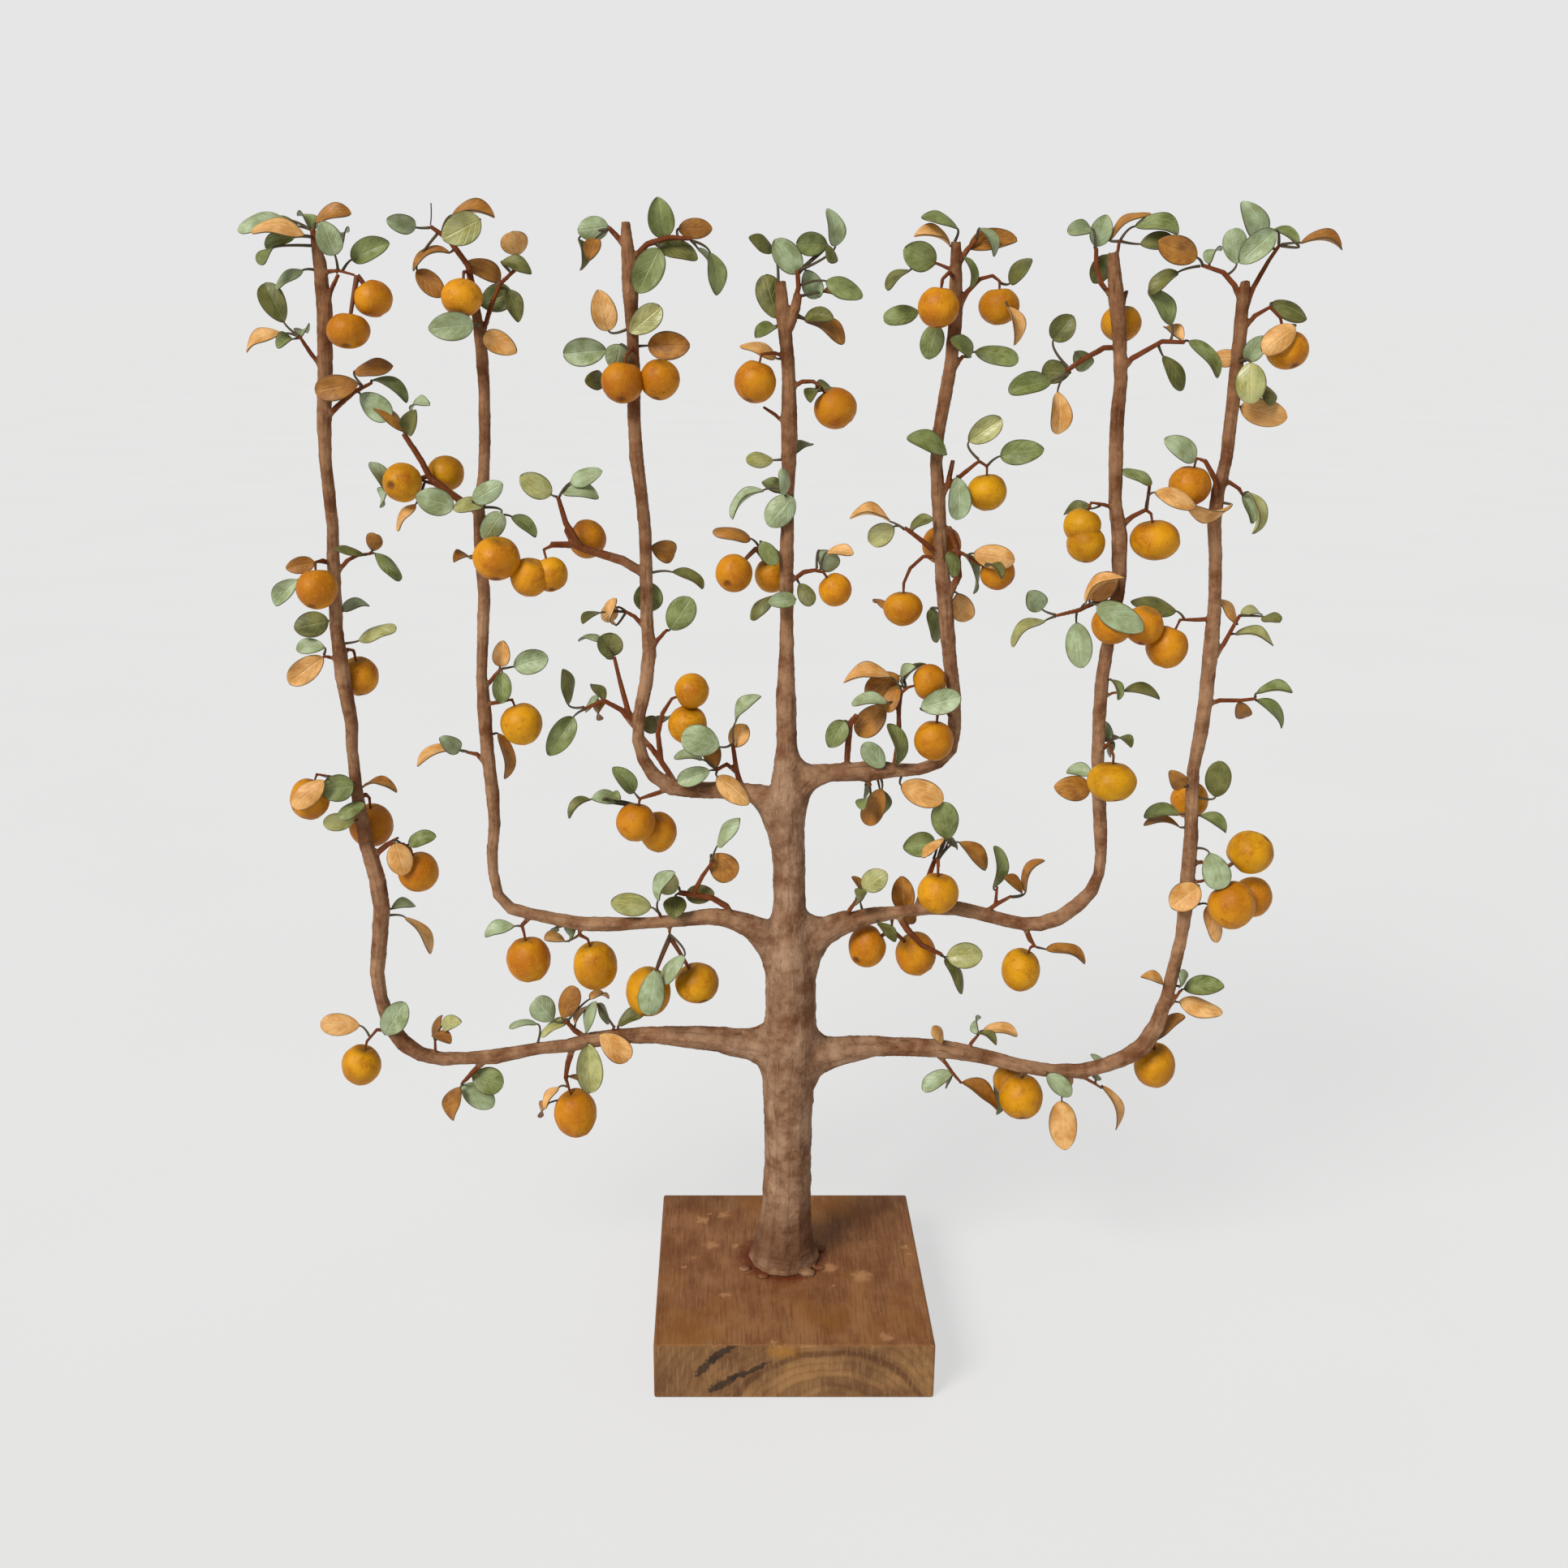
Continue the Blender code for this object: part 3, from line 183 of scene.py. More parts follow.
# Fruits made of several balls, by node name without its fruit_: each ball's x, z, depth, half
# width, half height. The first one hangs on the arm's stem. Where a fork (x, z, depth) is given,
# its wires carry all of them.
CLUSTERS = {
    "outer_left_1": ([(-203, 565, 6, 9.2, 8.6), (-216, 550, 13, 10.3, 8.3)], (-210, 575.5, 7)),
    "mid_left_2": ([(-194, 477, 3, 9.7, 9.7), (-172, 481.5, -12, 9.2, 8.8)], (-185.5, 478.5, -6)),
    "mid_left_6": ([(-75, 200.6, 3, 12.3, 13.7), (-48.4, 205.8, 0, 12, 11)], (-62.8, 232.5, 1)),
    "inner_left_1": ([(-121.5, 431, 7, 8.7, 8.8), (-132, 429.5, 10, 9.8, 9.8),
        (-148.5, 439, 14.5, 11.8, 10.8)], None),
    "inner_left_3": ([(-83.2, 525.7, 14.5, 10.2, 10), (-64.8, 527, 12, 9.6, 9.6)], None),
    "inner_left_4": ([(-50.3, 370, 3, 8.9, 9), (-52.5, 352, 3, 10, 10.2)], None),
    "inner_left_5": ([(-80.3, 298.5, 6, 10.2, 10.3), (-68.5, 293, -4, 9.8, 10.8)], None),
    "centre_3": ([(-28.3, 431.5, 2, 9.3, 9.5), (-9, 430.5, -14, 9, 9)], (-17, 444, -5)),
    "mid_right_2": ([(146.8, 455.5, 3, 9.2, 8.8), (149.3, 446.5, 5, 9.5, 9.4)], None),
    "mid_right_6": ([(44.5, 227.3, -7, 10.2, 12), (71, 223, -10, 11, 12.2)], (57.5, 236.5, -8)),
    "outer_right_1": ([(194.3, 393.5, 6, 10.4, 10.9), (181.5, 404.5, 10, 10, 9.8),
        (165.3, 405, 14.3, 10.2, 9.8)], None),
    "outer_right_2": ([(133, 136.5, 3, 12, 12.8), (127, 146.5, -12, 10.2, 9.6)], None),
    "outer_right_7": ([(247.6, 281.5, 1, 11.9, 11.4), (240.6, 251.2, 9, 12.2, 12.8),
        (251.3, 256, -8, 10.3, 11)], (229.5, 267, 2)),
}
# How yellow a fruit is: 0 orange, 1 yellow-olive. A name with one more digit is for the ball of
# that number in the node's cluster. The rest have PLAIN_YELLOW.
PLAIN_YELLOW = 0.08
YELLOW = {
    "outer_left_7": 0.6, "mid_left_2": 0.65, "mid_left_5": 0.6, "mid_left_3": 0.6,
    "inner_left_10": 0.4, "inner_right_2": 0.5, "mid_right_1": 0.5, "inner_right_7": 0.3,
    "inner_right_8": 0.3, "mid_left_6": 0.7, "inner_left_4": 0.4, "inner_right_3": 1.0,
    "inner_right_6": 0.45, "mid_right_2": 1.0, "mid_right_3": 0.4, "mid_right_4": 0.95,
    "mid_right_5": 0.4, "mid_right_7": 0.75, "outer_right_2": 0.6, "outer_right_3": 0.65,
    "outer_right_70": 0.8, "outer_right_71": 0.3, "outer_right_72": 0.3,
}


def place(x, z, depth=0.0):
    """A point of the elevation, as a point of the model in metres."""
    nearer = (EYE_FRONT - depth) / EYE_FRONT
    across = TREE_X + EYE_X + (x - EYE_X) * nearer
    up = EYE_Z + (z - EYE_Z) * nearer
    return Vector((across, TREE_Y - depth, up)) * MM


EYE = Vector((TREE_X + EYE_X, TREE_Y - EYE_FRONT, EYE_Z)) * MM


def linear(red, green, blue):
    """A colour as seen, 0 to 255, as the linear values that a shader takes."""
    return tuple(((c / 255 + 0.055) / 1.055) ** 2.4 for c in (red, green, blue)) + (1.0,)


class Look:
    """A material under construction: short calls that add and link nodes."""

    def __init__(self, name, roughness, specular=0.4):
        self.material = bpy.data.materials.new(name)
        self.material.use_nodes = True
        self.nodes = self.material.node_tree.nodes
        self.links = self.material.node_tree.links
        self.shader = self.nodes["Principled BSDF"]
        self.shader.inputs["Roughness"].default_value = roughness
        self.shader.inputs["Specular IOR Level"].default_value = specular

    def feed(self, socket, value):
        if isinstance(value, bpy.types.NodeSocket):
            self.links.new(value, socket)
        else:
            socket.default_value = value

    def new(self, kind, *values):
        """A new node, with its first inputs fed in order."""
        node = self.nodes.new("ShaderNode" + kind)
        for socket, value in zip(node.inputs, values):
            self.feed(socket, value)
        return node

    def position(self):
        return self.new("TexCoord").outputs["Object"]

    def attribute(self, name, output="Vector"):
        node = self.new("Attribute")
        node.attribute_name = name
        return node.outputs[output]

    def parts(self, vector):
        return self.new("SeparateXYZ", vector).outputs

    def joined(self, x, y, z):
        return self.new("CombineXYZ", x, y, z).outputs[0]

    def add(self, a, b):
        return self.new("VectorMath", a, b).outputs[0]

    def scaled(self, vector, scale):
        node = self.new("VectorMath", vector, scale)
        node.operation = "MULTIPLY"
        return node.outputs[0]

    def distance(self, a, b):
        node = self.new("VectorMath", a, b)
        node.operation = "DISTANCE"
        return node.outputs["Value"]

    def noise(self, vector, scale, detail=3.0, roughness=0.5, distortion=0.0, output=0):
        node = self.new("TexNoise", vector)
        node.inputs["Scale"].default_value = scale
        node.inputs["Detail"].default_value = detail
        node.inputs["Roughness"].default_value = roughness
        node.inputs["Distortion"].default_value = distortion
        return node.outputs[output]

    def math(self, operation, a, b=0.0):
        node = self.new("Math", a, b)
        node.operation = operation
        return node.outputs[0]

    def times(self, a, b):
        return self.math("MULTIPLY", a, b)

    def absolute(self, value):
        return self.math("ABSOLUTE", value)

    def ramp(self, value, low, high, start=0.0, end=1.0):
        """A smooth step: start below low, end above high."""
        node = self.new("MapRange", value, low, high, start, end)
        node.interpolation_type = "SMOOTHSTEP"
        return node.outputs["Result"]

    def mix(self, factor, a, b):
        node = self.new("Mix")
        node.data_type = "RGBA"           # before the inputs, as it decides which ones A and B are
        self.feed(node.inputs["Factor"], factor)
        self.feed(node.inputs["A"], a)
        self.feed(node.inputs["B"], b)
        return node.outputs["Result"]

    def over(self, colour, amount, *rgb):
        """The colour with another, given as seen, laid over it by an amount from 0 to 1."""
        return self.mix(amount, colour, linear(*rgb))

    def bump(self, height, distance, strength):
        node = self.new("Bump")
        self.feed(node.inputs["Height"], height)
        node.inputs["Distance"].default_value = distance
        node.inputs["Strength"].default_value = strength
        return node.outputs[0]

    def done(self, colour, normal=None, roughness=None):
        """The finished material, with a bumped normal and a varied roughness if given."""
        self.feed(self.shader.inputs["Base Color"], colour)
        if normal is not None:
            self.links.new(normal, self.shader.inputs["Normal"])
        if roughness is not None:
            self.links.new(roughness, self.shader.inputs["Roughness"])
        return self.material


def bark_material():
    look = Look("scratched_clay", 0.85, 0.2)
    grain = look.attribute("grain")
    girth = look.attribute("girth", "Fac")
    height = look.parts(look.position())[2]
    mottle = look.ramp(look.noise(look.position(), 70, 6, 0.66), 0.3, 0.7)
    trunk = look.mix(mottle, linear(106, 68, 42), linear(164, 130, 102))
    upper = look.mix(mottle, linear(102, 60, 32), linear(160, 122, 90))
    high = look.mix(mottle, linear(92, 50, 22), linear(148, 106, 72))
    upper = look.mix(look.ramp(height, 0.40, 0.56), upper, high)
    colour = look.mix(look.ramp(girth, 8.5, 15), upper, trunk)
    twig = look.mix(look.noise(look.position(), 160, 3), linear(78, 30, 8), linear(128, 68, 30))
    colour = look.mix(look.ramp(girth, 2.6, 5.2), twig, colour)
    streak = look.noise(grain, 1.0, 5, 0.62)
    fine = look.noise(grain, 3.2, 3, 0.6)
    colour = look.over(colour, look.ramp(streak, 0.30, 0.44, 0.6, 0.0), 62, 32, 12)
    colour = look.over(colour, look.ramp(fine, 0.55, 0.75, 0.0, 0.35), 170, 140, 112)
    speck = look.ramp(look.noise(look.position(), 420, 2, 0.6), 0.62, 0.74, 0.0, 0.25)
    colour = look.over(colour, speck, 70, 40, 20)
    # Painted shade: the bark darkens from just above the block and fades out by 85 mm up, for the
    # shade round the trunk's foot.
    painted_foot_shade = look.times(look.ramp(height, 0.045, 0.085, 0.7, 0.0),
                     look.ramp(height, 0.034, 0.043, 0.0, 1.0))
    colour = look.over(colour, painted_foot_shade, 88, 50, 26)
    relief = look.math("ADD", look.times(streak, 0.7), look.times(fine, 0.3))
    return look.done(colour, look.bump(relief, 0.0012, 0.9))


def fruit_material():
    look = Look("painted_fruit", 0.6, 0.2)
    where = look.position()
    pole, yellow, chance = look.parts(look.attribute("fruit"))
    soft = look.ramp(look.noise(where, 60, 3), 0.3, 0.7)
    orange = look.mix(soft, linear(178, 106, 4), linear(214, 144, 18))
    golden = look.mix(soft, linear(170, 116, 0), linear(210, 154, 0))
    colour = look.mix(yellow, orange, golden)
    blotch = look.ramp(look.noise(where, 130, 4, 0.6, 0.4), 0.5, 0.72, 0.0, 0.55)
    colour = look.over(colour, blotch, 150, 74, 0)
    speck = look.ramp(look.noise(where, 900, 2, 0.5), 0.58, 0.72, 0.0, 0.4)
    colour = look.over(colour, speck, 226, 156, 48)
    dot = look.ramp(look.noise(where, 700, 2, 0.5), 0.64, 0.72, 0.0, 0.5)
    colour = look.over(colour, dot, 112, 60, 8)
    colour = look.over(colour, look.ramp(pole, 0.75, 1.0, 0.0, 0.55), 112, 84, 8)
    colour = look.over(colour, look.ramp(pole, -1.0, -0.95, 0.75, 0.0), 58, 32, 12)
    shade = look.ramp(chance, 0.0, 1.0, 0.0, 0.35)
    colour = look.over(colour, shade, 144, 72, 0)
    skin = look.bump(look.noise(where, 420, 4, 0.6), 0.0006, 0.6)
    return look.done(colour, skin, look.ramp(look.noise(where, 300, 3), 0.3, 0.7, 0.4, 0.6))


# The leaves' paints: name, dark, light and vein colours as seen, and roughness.
LEAF_PAINTS = {
    "M": ("leaf_mint", (122, 132, 84), (164, 180, 142), (186, 198, 164), 0.45),
    "G": ("leaf_green", (90, 98, 36), (134, 144, 88), (160, 168, 114), 0.45),
    "D": ("leaf_olive", (70, 72, 14), (116, 114, 56), (138, 138, 80), 0.5),
    "T": ("leaf_tan", (186, 126, 48), (224, 174, 108), (238, 198, 140), 0.5),
    "O": ("leaf_ochre", (126, 74, 0), (174, 116, 38), (194, 140, 66), 0.5),
    # The yellow-green leaf's pale yellow vein colour is also its painted highlight, so its streaks and
    # veins are partly painted highlight.
    "Y": ("leaf_yellow_green", (132, 132, 72), (172, 174, 120), (226, 204, 112), 0.3),
}


def leaf_material(name, dark, light, vein, roughness):
    """Painted clay leaf: dark and light patches, veins, and a darker rim that is painted shade along
    the edges.
    """
    dark, light, vein = linear(*dark), linear(*light), linear(*vein)
    look = Look(name, roughness, 0.45)
    where = look.position()
    along, across, chance = look.parts(look.attribute("leaf"))
    side = look.absolute(across)
    streaks = look.noise(look.joined(look.times(along, 3.0),
                                     look.times(across, 7.0),
                                     look.times(chance, 40.0)), 1.0, 4, 0.6)
    colour = look.mix(look.ramp(look.noise(where, 140, 3, 0.55), 0.3, 0.7), dark, light)
    # On the yellow-green leaves this vein colour is partly painted highlight.
    colour = look.mix(look.ramp(streaks, 0.5, 0.75, 0.0, 0.55), colour, vein)
    rib = look.ramp(side, 0.0, 0.1, 1.0, 0.0)
    wave = look.math("SINE", look.math("SUBTRACT", look.times(along, 44.0),
                                       look.times(side, 13.0)))
    veins = look.math("MAXIMUM", rib, look.ramp(wave, 0.7, 1.0, 0.0, 0.6))
    colour = look.mix(look.times(veins, 0.3), colour, vein)
    # Painted shade: the colour darkens towards the leaf's edges, for the shade that the curled edges
    # fall into.
    rim = look.ramp(side, 0.82, 1.0, 0.0, 0.55)
    colour = look.mix(rim, colour, tuple(c * 0.35 for c in dark[:3]) + (1.0,))
    shade = look.ramp(chance, 0.0, 1.0, 0.0, 0.25)
    colour = look.mix(shade, colour, dark)
    relief = look.math("SUBTRACT", look.times(streaks, 0.5), veins)
    return look.done(colour, look.bump(relief, 0.0004, 0.6))


def plain_clay(name, dark, light, scale, roughness=0.7):
    look = Look(name, roughness)
    where = look.position()
    colour = look.mix(look.noise(where, scale, 4, 0.6), dark, light)
    return look.done(colour, look.bump(look.noise(where, scale * 4, 3), 0.0003, 0.5))


def steel_material(name, tone, roughness):
    look = Look(name, roughness)
    look.shader.inputs["Metallic"].default_value = 1.0
    where = look.position()
    colour = look.mix(look.noise(look.scaled(where, (1, 1, 0.1)), 900, 3),
                      (tone * 0.8,) * 3 + (1.0,), (tone, tone, tone * 0.96, 1.0))
    return look.done(colour, look.bump(look.noise(where, 1500, 2), 0.0001, 0.4))


# Pale chips and glue marks on the block's top, as seen on the elevation: x, z, width.
CHIPS = [(-46, 57.5, 7), (-42, 61.5, 3), (-34, 60.8, 6), (-41, 41, 7), (-27, 40.5, 4),
         (-51.5, 32.5, 2), (-57, 26.5, 3), (-33, 8, 5), (46.5, 20.5, 10), (28, 26, 8), (20.5, 29, 6),
         (71, 40, 4), (73, 35.5, 2.5), (-21, 25, 6), (30, 14, 2.5), (13, 22.5, 8), (62, -21, 7),
         (-5, -25, 4)]
# Dark sap streaks across the block's front: start x, start z, end x, end z, width.
SAP = [(-53, 13, -41, 27, 5.0), (-46, 23, -32, 33, 5.5), (-46, 3.5, -29, 15, 6.0),
       (-34, 11.5, -13, 22.5, 3.6)]


def on_block_top(x, z):
    """The point of the block's top that is seen through a point of the elevation."""
    aim = place(x, z) - EYE
    return EYE + aim * ((BLOCK_TOP - EYE.z) / aim.z)


# The growth rings' heart, below the board, and a stain of amber, in metres on the front: x, 0, z.
HEART, AMBER = (0.021, 0, -0.031), (-0.003, 0, 0.029)
RINGS_PER_METRE = 210.0
# Darker rings: radius, how near it is full, how near it is gone, in metres, and its darkness.
DARK_RINGS = [(0.0675, 0.0006, 0.0028, 0.75), (0.049, 0.001, 0.005, 0.45)]


def end_grain(look, where, shifted, combed):
    """Growth rings round a heart below the board, sap streaks, and a fan of rings at the right."""
    x, _, z = look.parts(where)
    soft = look.noise(look.scaled(where, (1, 0.08, 1)), 22, 3, 0.55)
    heart = look.distance(look.scaled(where, (1, 0, 1)), HEART)
    radius = look.math("ADD", heart, look.times(soft, 0.015))
    ring = look.math("FRACT", look.times(radius, RINGS_PER_METRE))
    late = look.times(look.ramp(ring, 0.45, 0.93), look.ramp(ring, 0.94, 1.0, 1.0, 0.0))
    patch = look.ramp(look.noise(where, 45, 4, 0.6), 0.32, 0.68)
    end = look.mix(patch, linear(102, 68, 38), linear(148, 108, 64))
    end = look.over(end, look.times(late, 0.3), 84, 50, 24)
    arc = 0.0
    for at, full, gone, darkness in DARK_RINGS:
        away = look.absolute(look.math("SUBTRACT", radius, at))
        arc = look.math("MAXIMUM", look.ramp(away, full, gone, darkness, 0.0), arc)
    end = look.over(end, arc, 78, 44, 20)
    end = look.over(end, look.ramp(x, -0.062, -0.030, 0.5, 0.0), 84, 50, 26)
    end = look.over(end, look.ramp(combed, 0.45, 0.7, 0.0, 0.3), 170, 130, 84)
    fan = look.math("FRACT", look.math("ADD", look.times(x, RINGS_PER_METRE),
                                       look.times(look.math("ADD", z, soft), 120.0)))
    fan = look.times(look.ramp(fan, 0.5, 0.95), look.ramp(x, 0.040, 0.056))
    end = look.over(end, look.times(fan, 0.35), 92, 54, 28)
    amber = look.distance(look.scaled(shifted, (0.5, 0, 1)), AMBER)
    end = look.over(end, look.ramp(amber, 0.001, 0.0065, 0.5, 0.0), 166, 112, 28)
    flat = look.scaled(shifted, (1, 0, 1))
    for start_x, start_z, end_x, end_z, width in SAP:
        start, stop = Vector((start_x, 0, start_z)) * MM, Vector((end_x, 0, end_z)) * MM
        # The two distances to a streak's ends add up to its length only on the streak itself.
        both = look.math("ADD", look.distance(flat, start), look.distance(flat, stop))
        length = (stop - start).length
        outer = math.hypot(length, width * MM)
        dark = look.ramp(both, length + (outer - length) * 0.25, outer, 0.85, 0.0)
        end = look.over(end, dark, 44, 30, 20)
    return end


def stained_face(look, where, shifted, fibre):
    """A worn reddish stain with fine grain from front to back, chips, and a wet ring at the foot."""
    patch = look.ramp(look.noise(look.scaled(where, (1, 0.6, 1)), 48, 5, 0.65), 0.3, 0.7)
    stain = look.mix(patch, linear(116, 70, 36), linear(148, 104, 66))
    stain = look.over(stain, look.ramp(fibre, 0.36, 0.52, 0.45, 0.0), 84, 46, 20)
    stain = look.over(stain, look.ramp(fibre, 0.55, 0.72, 0.0, 0.3), 166, 118, 74)
    stain = look.over(stain, look.ramp(look.noise(where, 24, 3), 0.5, 0.68, 0.0, 0.45), 142, 92, 34)
    chips = 1.0
    for chip_x, chip_z, width in CHIPS:
        gap = look.distance(shifted, on_block_top(chip_x, chip_z))
        chips = look.math("MINIMUM", look.times(gap, 1350.0 / width), chips)
    stain = look.over(stain, look.ramp(chips, 0.25, 1.0, 0.55, 0.0), 188, 138, 92)
    foot = look.distance(look.scaled(shifted, (1, 1, 0)), (TREE_X * MM, TREE_Y * MM, 0))
    return look.over(stain, look.ramp(foot, 0.0205, 0.0285, 0.8, 0.0), 92, 34, 8)


def wood_material():
    """Pine end grain on the front and back, stain on the other faces, and rubbed edges."""
    look = Look("stained_pine", 0.62, 0.25)
    where = look.position()
    # Chips and streaks are looked up a little off their places, so that their edges are rough.
    jitter = look.add(look.noise(where, 320, 4, output="Color"), (-0.5,) * 3)
    shifted = look.add(where, look.scaled(jitter, (0.010, 0.008, 0.005)))
    combed = look.noise(look.scaled(where, (1, 1, 0.12)), 900, 3, 0.6)
    fibre = look.noise(look.scaled(where, (1, 0.06, 1)), 900, 4, 0.7)
    normal = look.parts(look.new("NewGeometry").outputs["Normal"])
    square_x, square_y, square_z = [look.absolute(part) for part in normal]
    ends = look.ramp(square_y, 0.6, 0.8)
    colour = look.mix(ends, stained_face(look, where, shifted, fibre),
                      end_grain(look, where, shifted, combed))
    square = look.math("MAXIMUM", square_z, look.math("MAXIMUM", square_x, square_y))
    colour = look.over(colour, look.ramp(square, 0.80, 0.97, 0.35, 0.0), 120, 80, 46)
    return look.done(colour, look.bump(look.mix(ends, fibre, combed), 0.0005, 0.5))


def floor_material():
    look = Look("light_table", 0.9, 0.0)
    look.shader.inputs["Emission Color"].default_value = (1.0, 1.0, 1.0, 1.0)
    look.shader.inputs["Emission Strength"].default_value = FLOOR_GLOW
    tone = look.ramp(look.noise(look.position(), 3, 2), 0, 1, FLOOR_TONE - 0.01, FLOOR_TONE + 0.01)
    return look.done(look.joined(tone, tone, tone))


def mesh_object(name, vertices, faces, material, smooth=True):
    mesh = bpy.data.meshes.new(name)
    mesh.from_pydata(vertices, [], faces)
    if smooth:
        mesh.shade_smooth()
    mesh.materials.append(material)
    item = bpy.data.objects.new(name, mesh)
    bpy.context.scene.collection.objects.link(item)
    return item


def evaluated_mesh(item):
    graph = bpy.context.evaluated_depsgraph_get()
    return bpy.data.meshes.new_from_object(item.evaluated_get(graph))


def vectors(mesh, field="co"):
    values = np.zeros(len(mesh.vertices) * 3, np.float32)
    mesh.vertices.foreach_get(field, values)
    return values.reshape(-1, 3).astype(float)


def add_values(piece, title, values):
    """Gives each vertex a vector, or a number, that the piece's material reads by its title."""
    values = np.array(values, np.float32)
    kind, field = ("FLOAT", "value") if values.ndim == 1 else ("FLOAT_VECTOR", "vector")
    layer = piece.data.attributes.new(title, kind, "POINT")
    layer.data.foreach_set(field, values.ravel())


def vertex_tree(meshes):
    """Finds the vertex nearest to a point, and the number of the mesh that it is in."""
    tree = KDTree(sum(len(mesh.vertices) for mesh in meshes))
    for number, mesh in enumerate(meshes):
        for corner in mesh.vertices:
            tree.insert(corner.co, number)
    tree.balance()
    return tree


def spread(values, edges, rounds):
    """Smooths values over a mesh by averaging each vertex with its neighbours."""
    count = len(values)
    degree = np.bincount(edges.ravel(), minlength=count) + 1e-9
    for _ in range(rounds):
        total = np.bincount(edges[:, 0], values[edges[:, 1]], count)
        total += np.bincount(edges[:, 1], values[edges[:, 0]], count)
        values = 0.5 * values + 0.5 * total / degree
    return values


# The clay is swollen for the remesh, so that thin twigs stay whole, and the rod and wires more,
# so that they leave no hollow. The rod stays clear of the foot by the gap, in metres.
CLAY_SWELL, FILLER_SWELL, FILLER_GAP = 0.2, 0.6, 0.0005
VOXEL, BARK_DEPTH = 0.5, 0.32
# Smoothing rounds in the creases by the arms' roots, then everywhere, by thickness. Their weights
# have this many steps.
CREASE_ROUNDS, THICK_ROUNDS, WEIGHT_STEPS = 60, 22, 24
# A crease is within its reach of a fork, in clay of its girth or more. Both limits fade out.
CREASE_REACH, CREASE_FADE, CREASE_GIRTH, GIRTH_FADE = 34, 10, 6, 4


def swollen(names, by, floor=None):
    """The CAD nodes' meshes in one bmesh, each skin moved outwards."""
    shape = bmesh.new()
    for name in names:
        shape.from_mesh(NODES[name].data)
    bmesh.ops.remove_doubles(shape, verts=shape.verts, dist=0.000001)
    bmesh.ops.recalc_face_normals(shape, faces=shape.faces)
    shape.normal_update()
    for vertex in shape.verts:
        vertex.co += vertex.normal * by * MM
        if floor is not None:
            vertex.co.z = max(vertex.co.z, floor)
    return shape


# Fillets of clay where an arm leaves the trunk, and in the fork at the leader's top: the outline's
# points on the elevation, the clay's radius at its two ends, and the side that the clay is on.
WEBS = [
    ([(-11.8, 142), (-12.4, 151), (-15, 157), (-19, 159.6), (-26, 161), (-37, 164.3)], 10, 7.2, 1),
    ([(-9.6, 188), (-10.1, 182), (-13, 178.8), (-19, 177.8)], 8, 7.2, -1),
    ([(15.7, 135), (17, 143), (20.8, 151), (26, 154.6), (33, 157.6), (41, 160)], 10, 7.0, -1),
    ([(15.8, 187), (17.6, 180), (20, 175), (23, 172.4), (29, 172.2)], 9, 7.0, 1),
    ([(-10, 204), (-12, 216), (-15.4, 224), (-20, 231), (-26, 236.4), (-36, 239.6)], 10.5, 4.8, 1),
    ([(-6.4, 250), (-7.4, 244), (-10, 240.6), (-13.5, 239.8), (-20, 241.6)], 7, 4.6, -1),
    ([(16.8, 206), (18.2, 217), (22, 226), (26.4, 231.4), (32, 235.3), (38, 239)], 10.5, 5.2, -1),
    ([(10, 253), (11, 248.4), (13.6, 245.6), (18, 243.8), (24, 243.6)], 8, 5, 1),
    ([(-8.6, 284), (-11.4, 294.5), (-14.6, 303), (-18, 308.6), (-25, 312)], 8.5, 4.6, 1),
    ([(-6, 330), (-6.5, 322), (-8.6, 317.8), (-12, 316.8), (-18, 318.4)], 5.5, 4.4, -1),
    ([(9.4, 295), (10.6, 308), (13, 314.6), (17, 319), (24, 321.3)], 8.5, 4.6, -1),
    ([(4, 350), (5, 341), (6.6, 334.6), (9.6, 330.8), (15, 330)], 5, 4.6, 1),
    ([(0.2, 550), (2.6, 556), (4, 561), (4.6, 567)], 3.2, 2.2, -1),
]
# Crumbs of clay and glue round the trunk's foot: x, y and radius on the block's top.
CRUMBS = [(10, -9.5, 4.5), (18, 15, 4), (-25.5, -5, 3.5), (17, -4, 3), (-15, -12.5, 3)]
# Where each tier's arms leave the trunk: x and z on the elevation.
FORKS = [(2, 168), (4, 236), (1, 318)]
# Each CAD clay node's own skin, by the node's name, once make_bark has run.
BARK = {}


def tubes(name, paths, roundness, fineness, order):
    """Round tubes through paths of (position in metres, radius in mm), as one curve object."""
    curve = bpy.data.curves.new(name, "CURVE")
    curve.dimensions = "3D"
    curve.bevel_depth = MM
    curve.bevel_resolution = roundness
    curve.use_fill_caps = True
    curve.resolution_u = fineness
    for path in paths:
        spline = curve.splines.new("NURBS")
        spline.points.add(len(path) - 1)
        spline.order_u = min(order, len(path))
        spline.use_endpoint_u = True
        for point, (position, radius) in zip(spline.points, path):
            point.co = (*position, 1.0)
            point.radius = radius
    item = bpy.data.objects.new(name, curve)
    bpy.context.scene.collection.objects.link(item)
    return item


def wires(name, paths, material):
    """Thin wire of one material, as a piece of the tree."""
    item = tubes(name, paths, roundness=2, fineness=5, order=4)
    item.data.materials.append(material)
    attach(item, "root")


def web_mesh(line, start, stop, side):
    """One fillet, as the mesh of a round tapering tube that touches its outline."""
    path = []
    for index, (x, z) in enumerate(line):
        radius = start + (stop - start) * index / (len(line) - 1)
        before, after = line[max(index - 1, 0)], line[min(index + 1, len(line) - 1)]
        run_x, run_z = after[0] - before[0], after[1] - before[1]
        offset = side * radius / math.hypot(run_x, run_z)
        path.append((place(x + run_z * offset, z - run_x * offset), radius))
    item = tubes("web", [path], roundness=5, fineness=12, order=3)
    mesh = evaluated_mesh(item)
    bpy.data.objects.remove(item, do_unlink=True)
    return mesh


def apply_modifiers(item):
    item.data = evaluated_mesh(item)
    item.modifiers.clear()


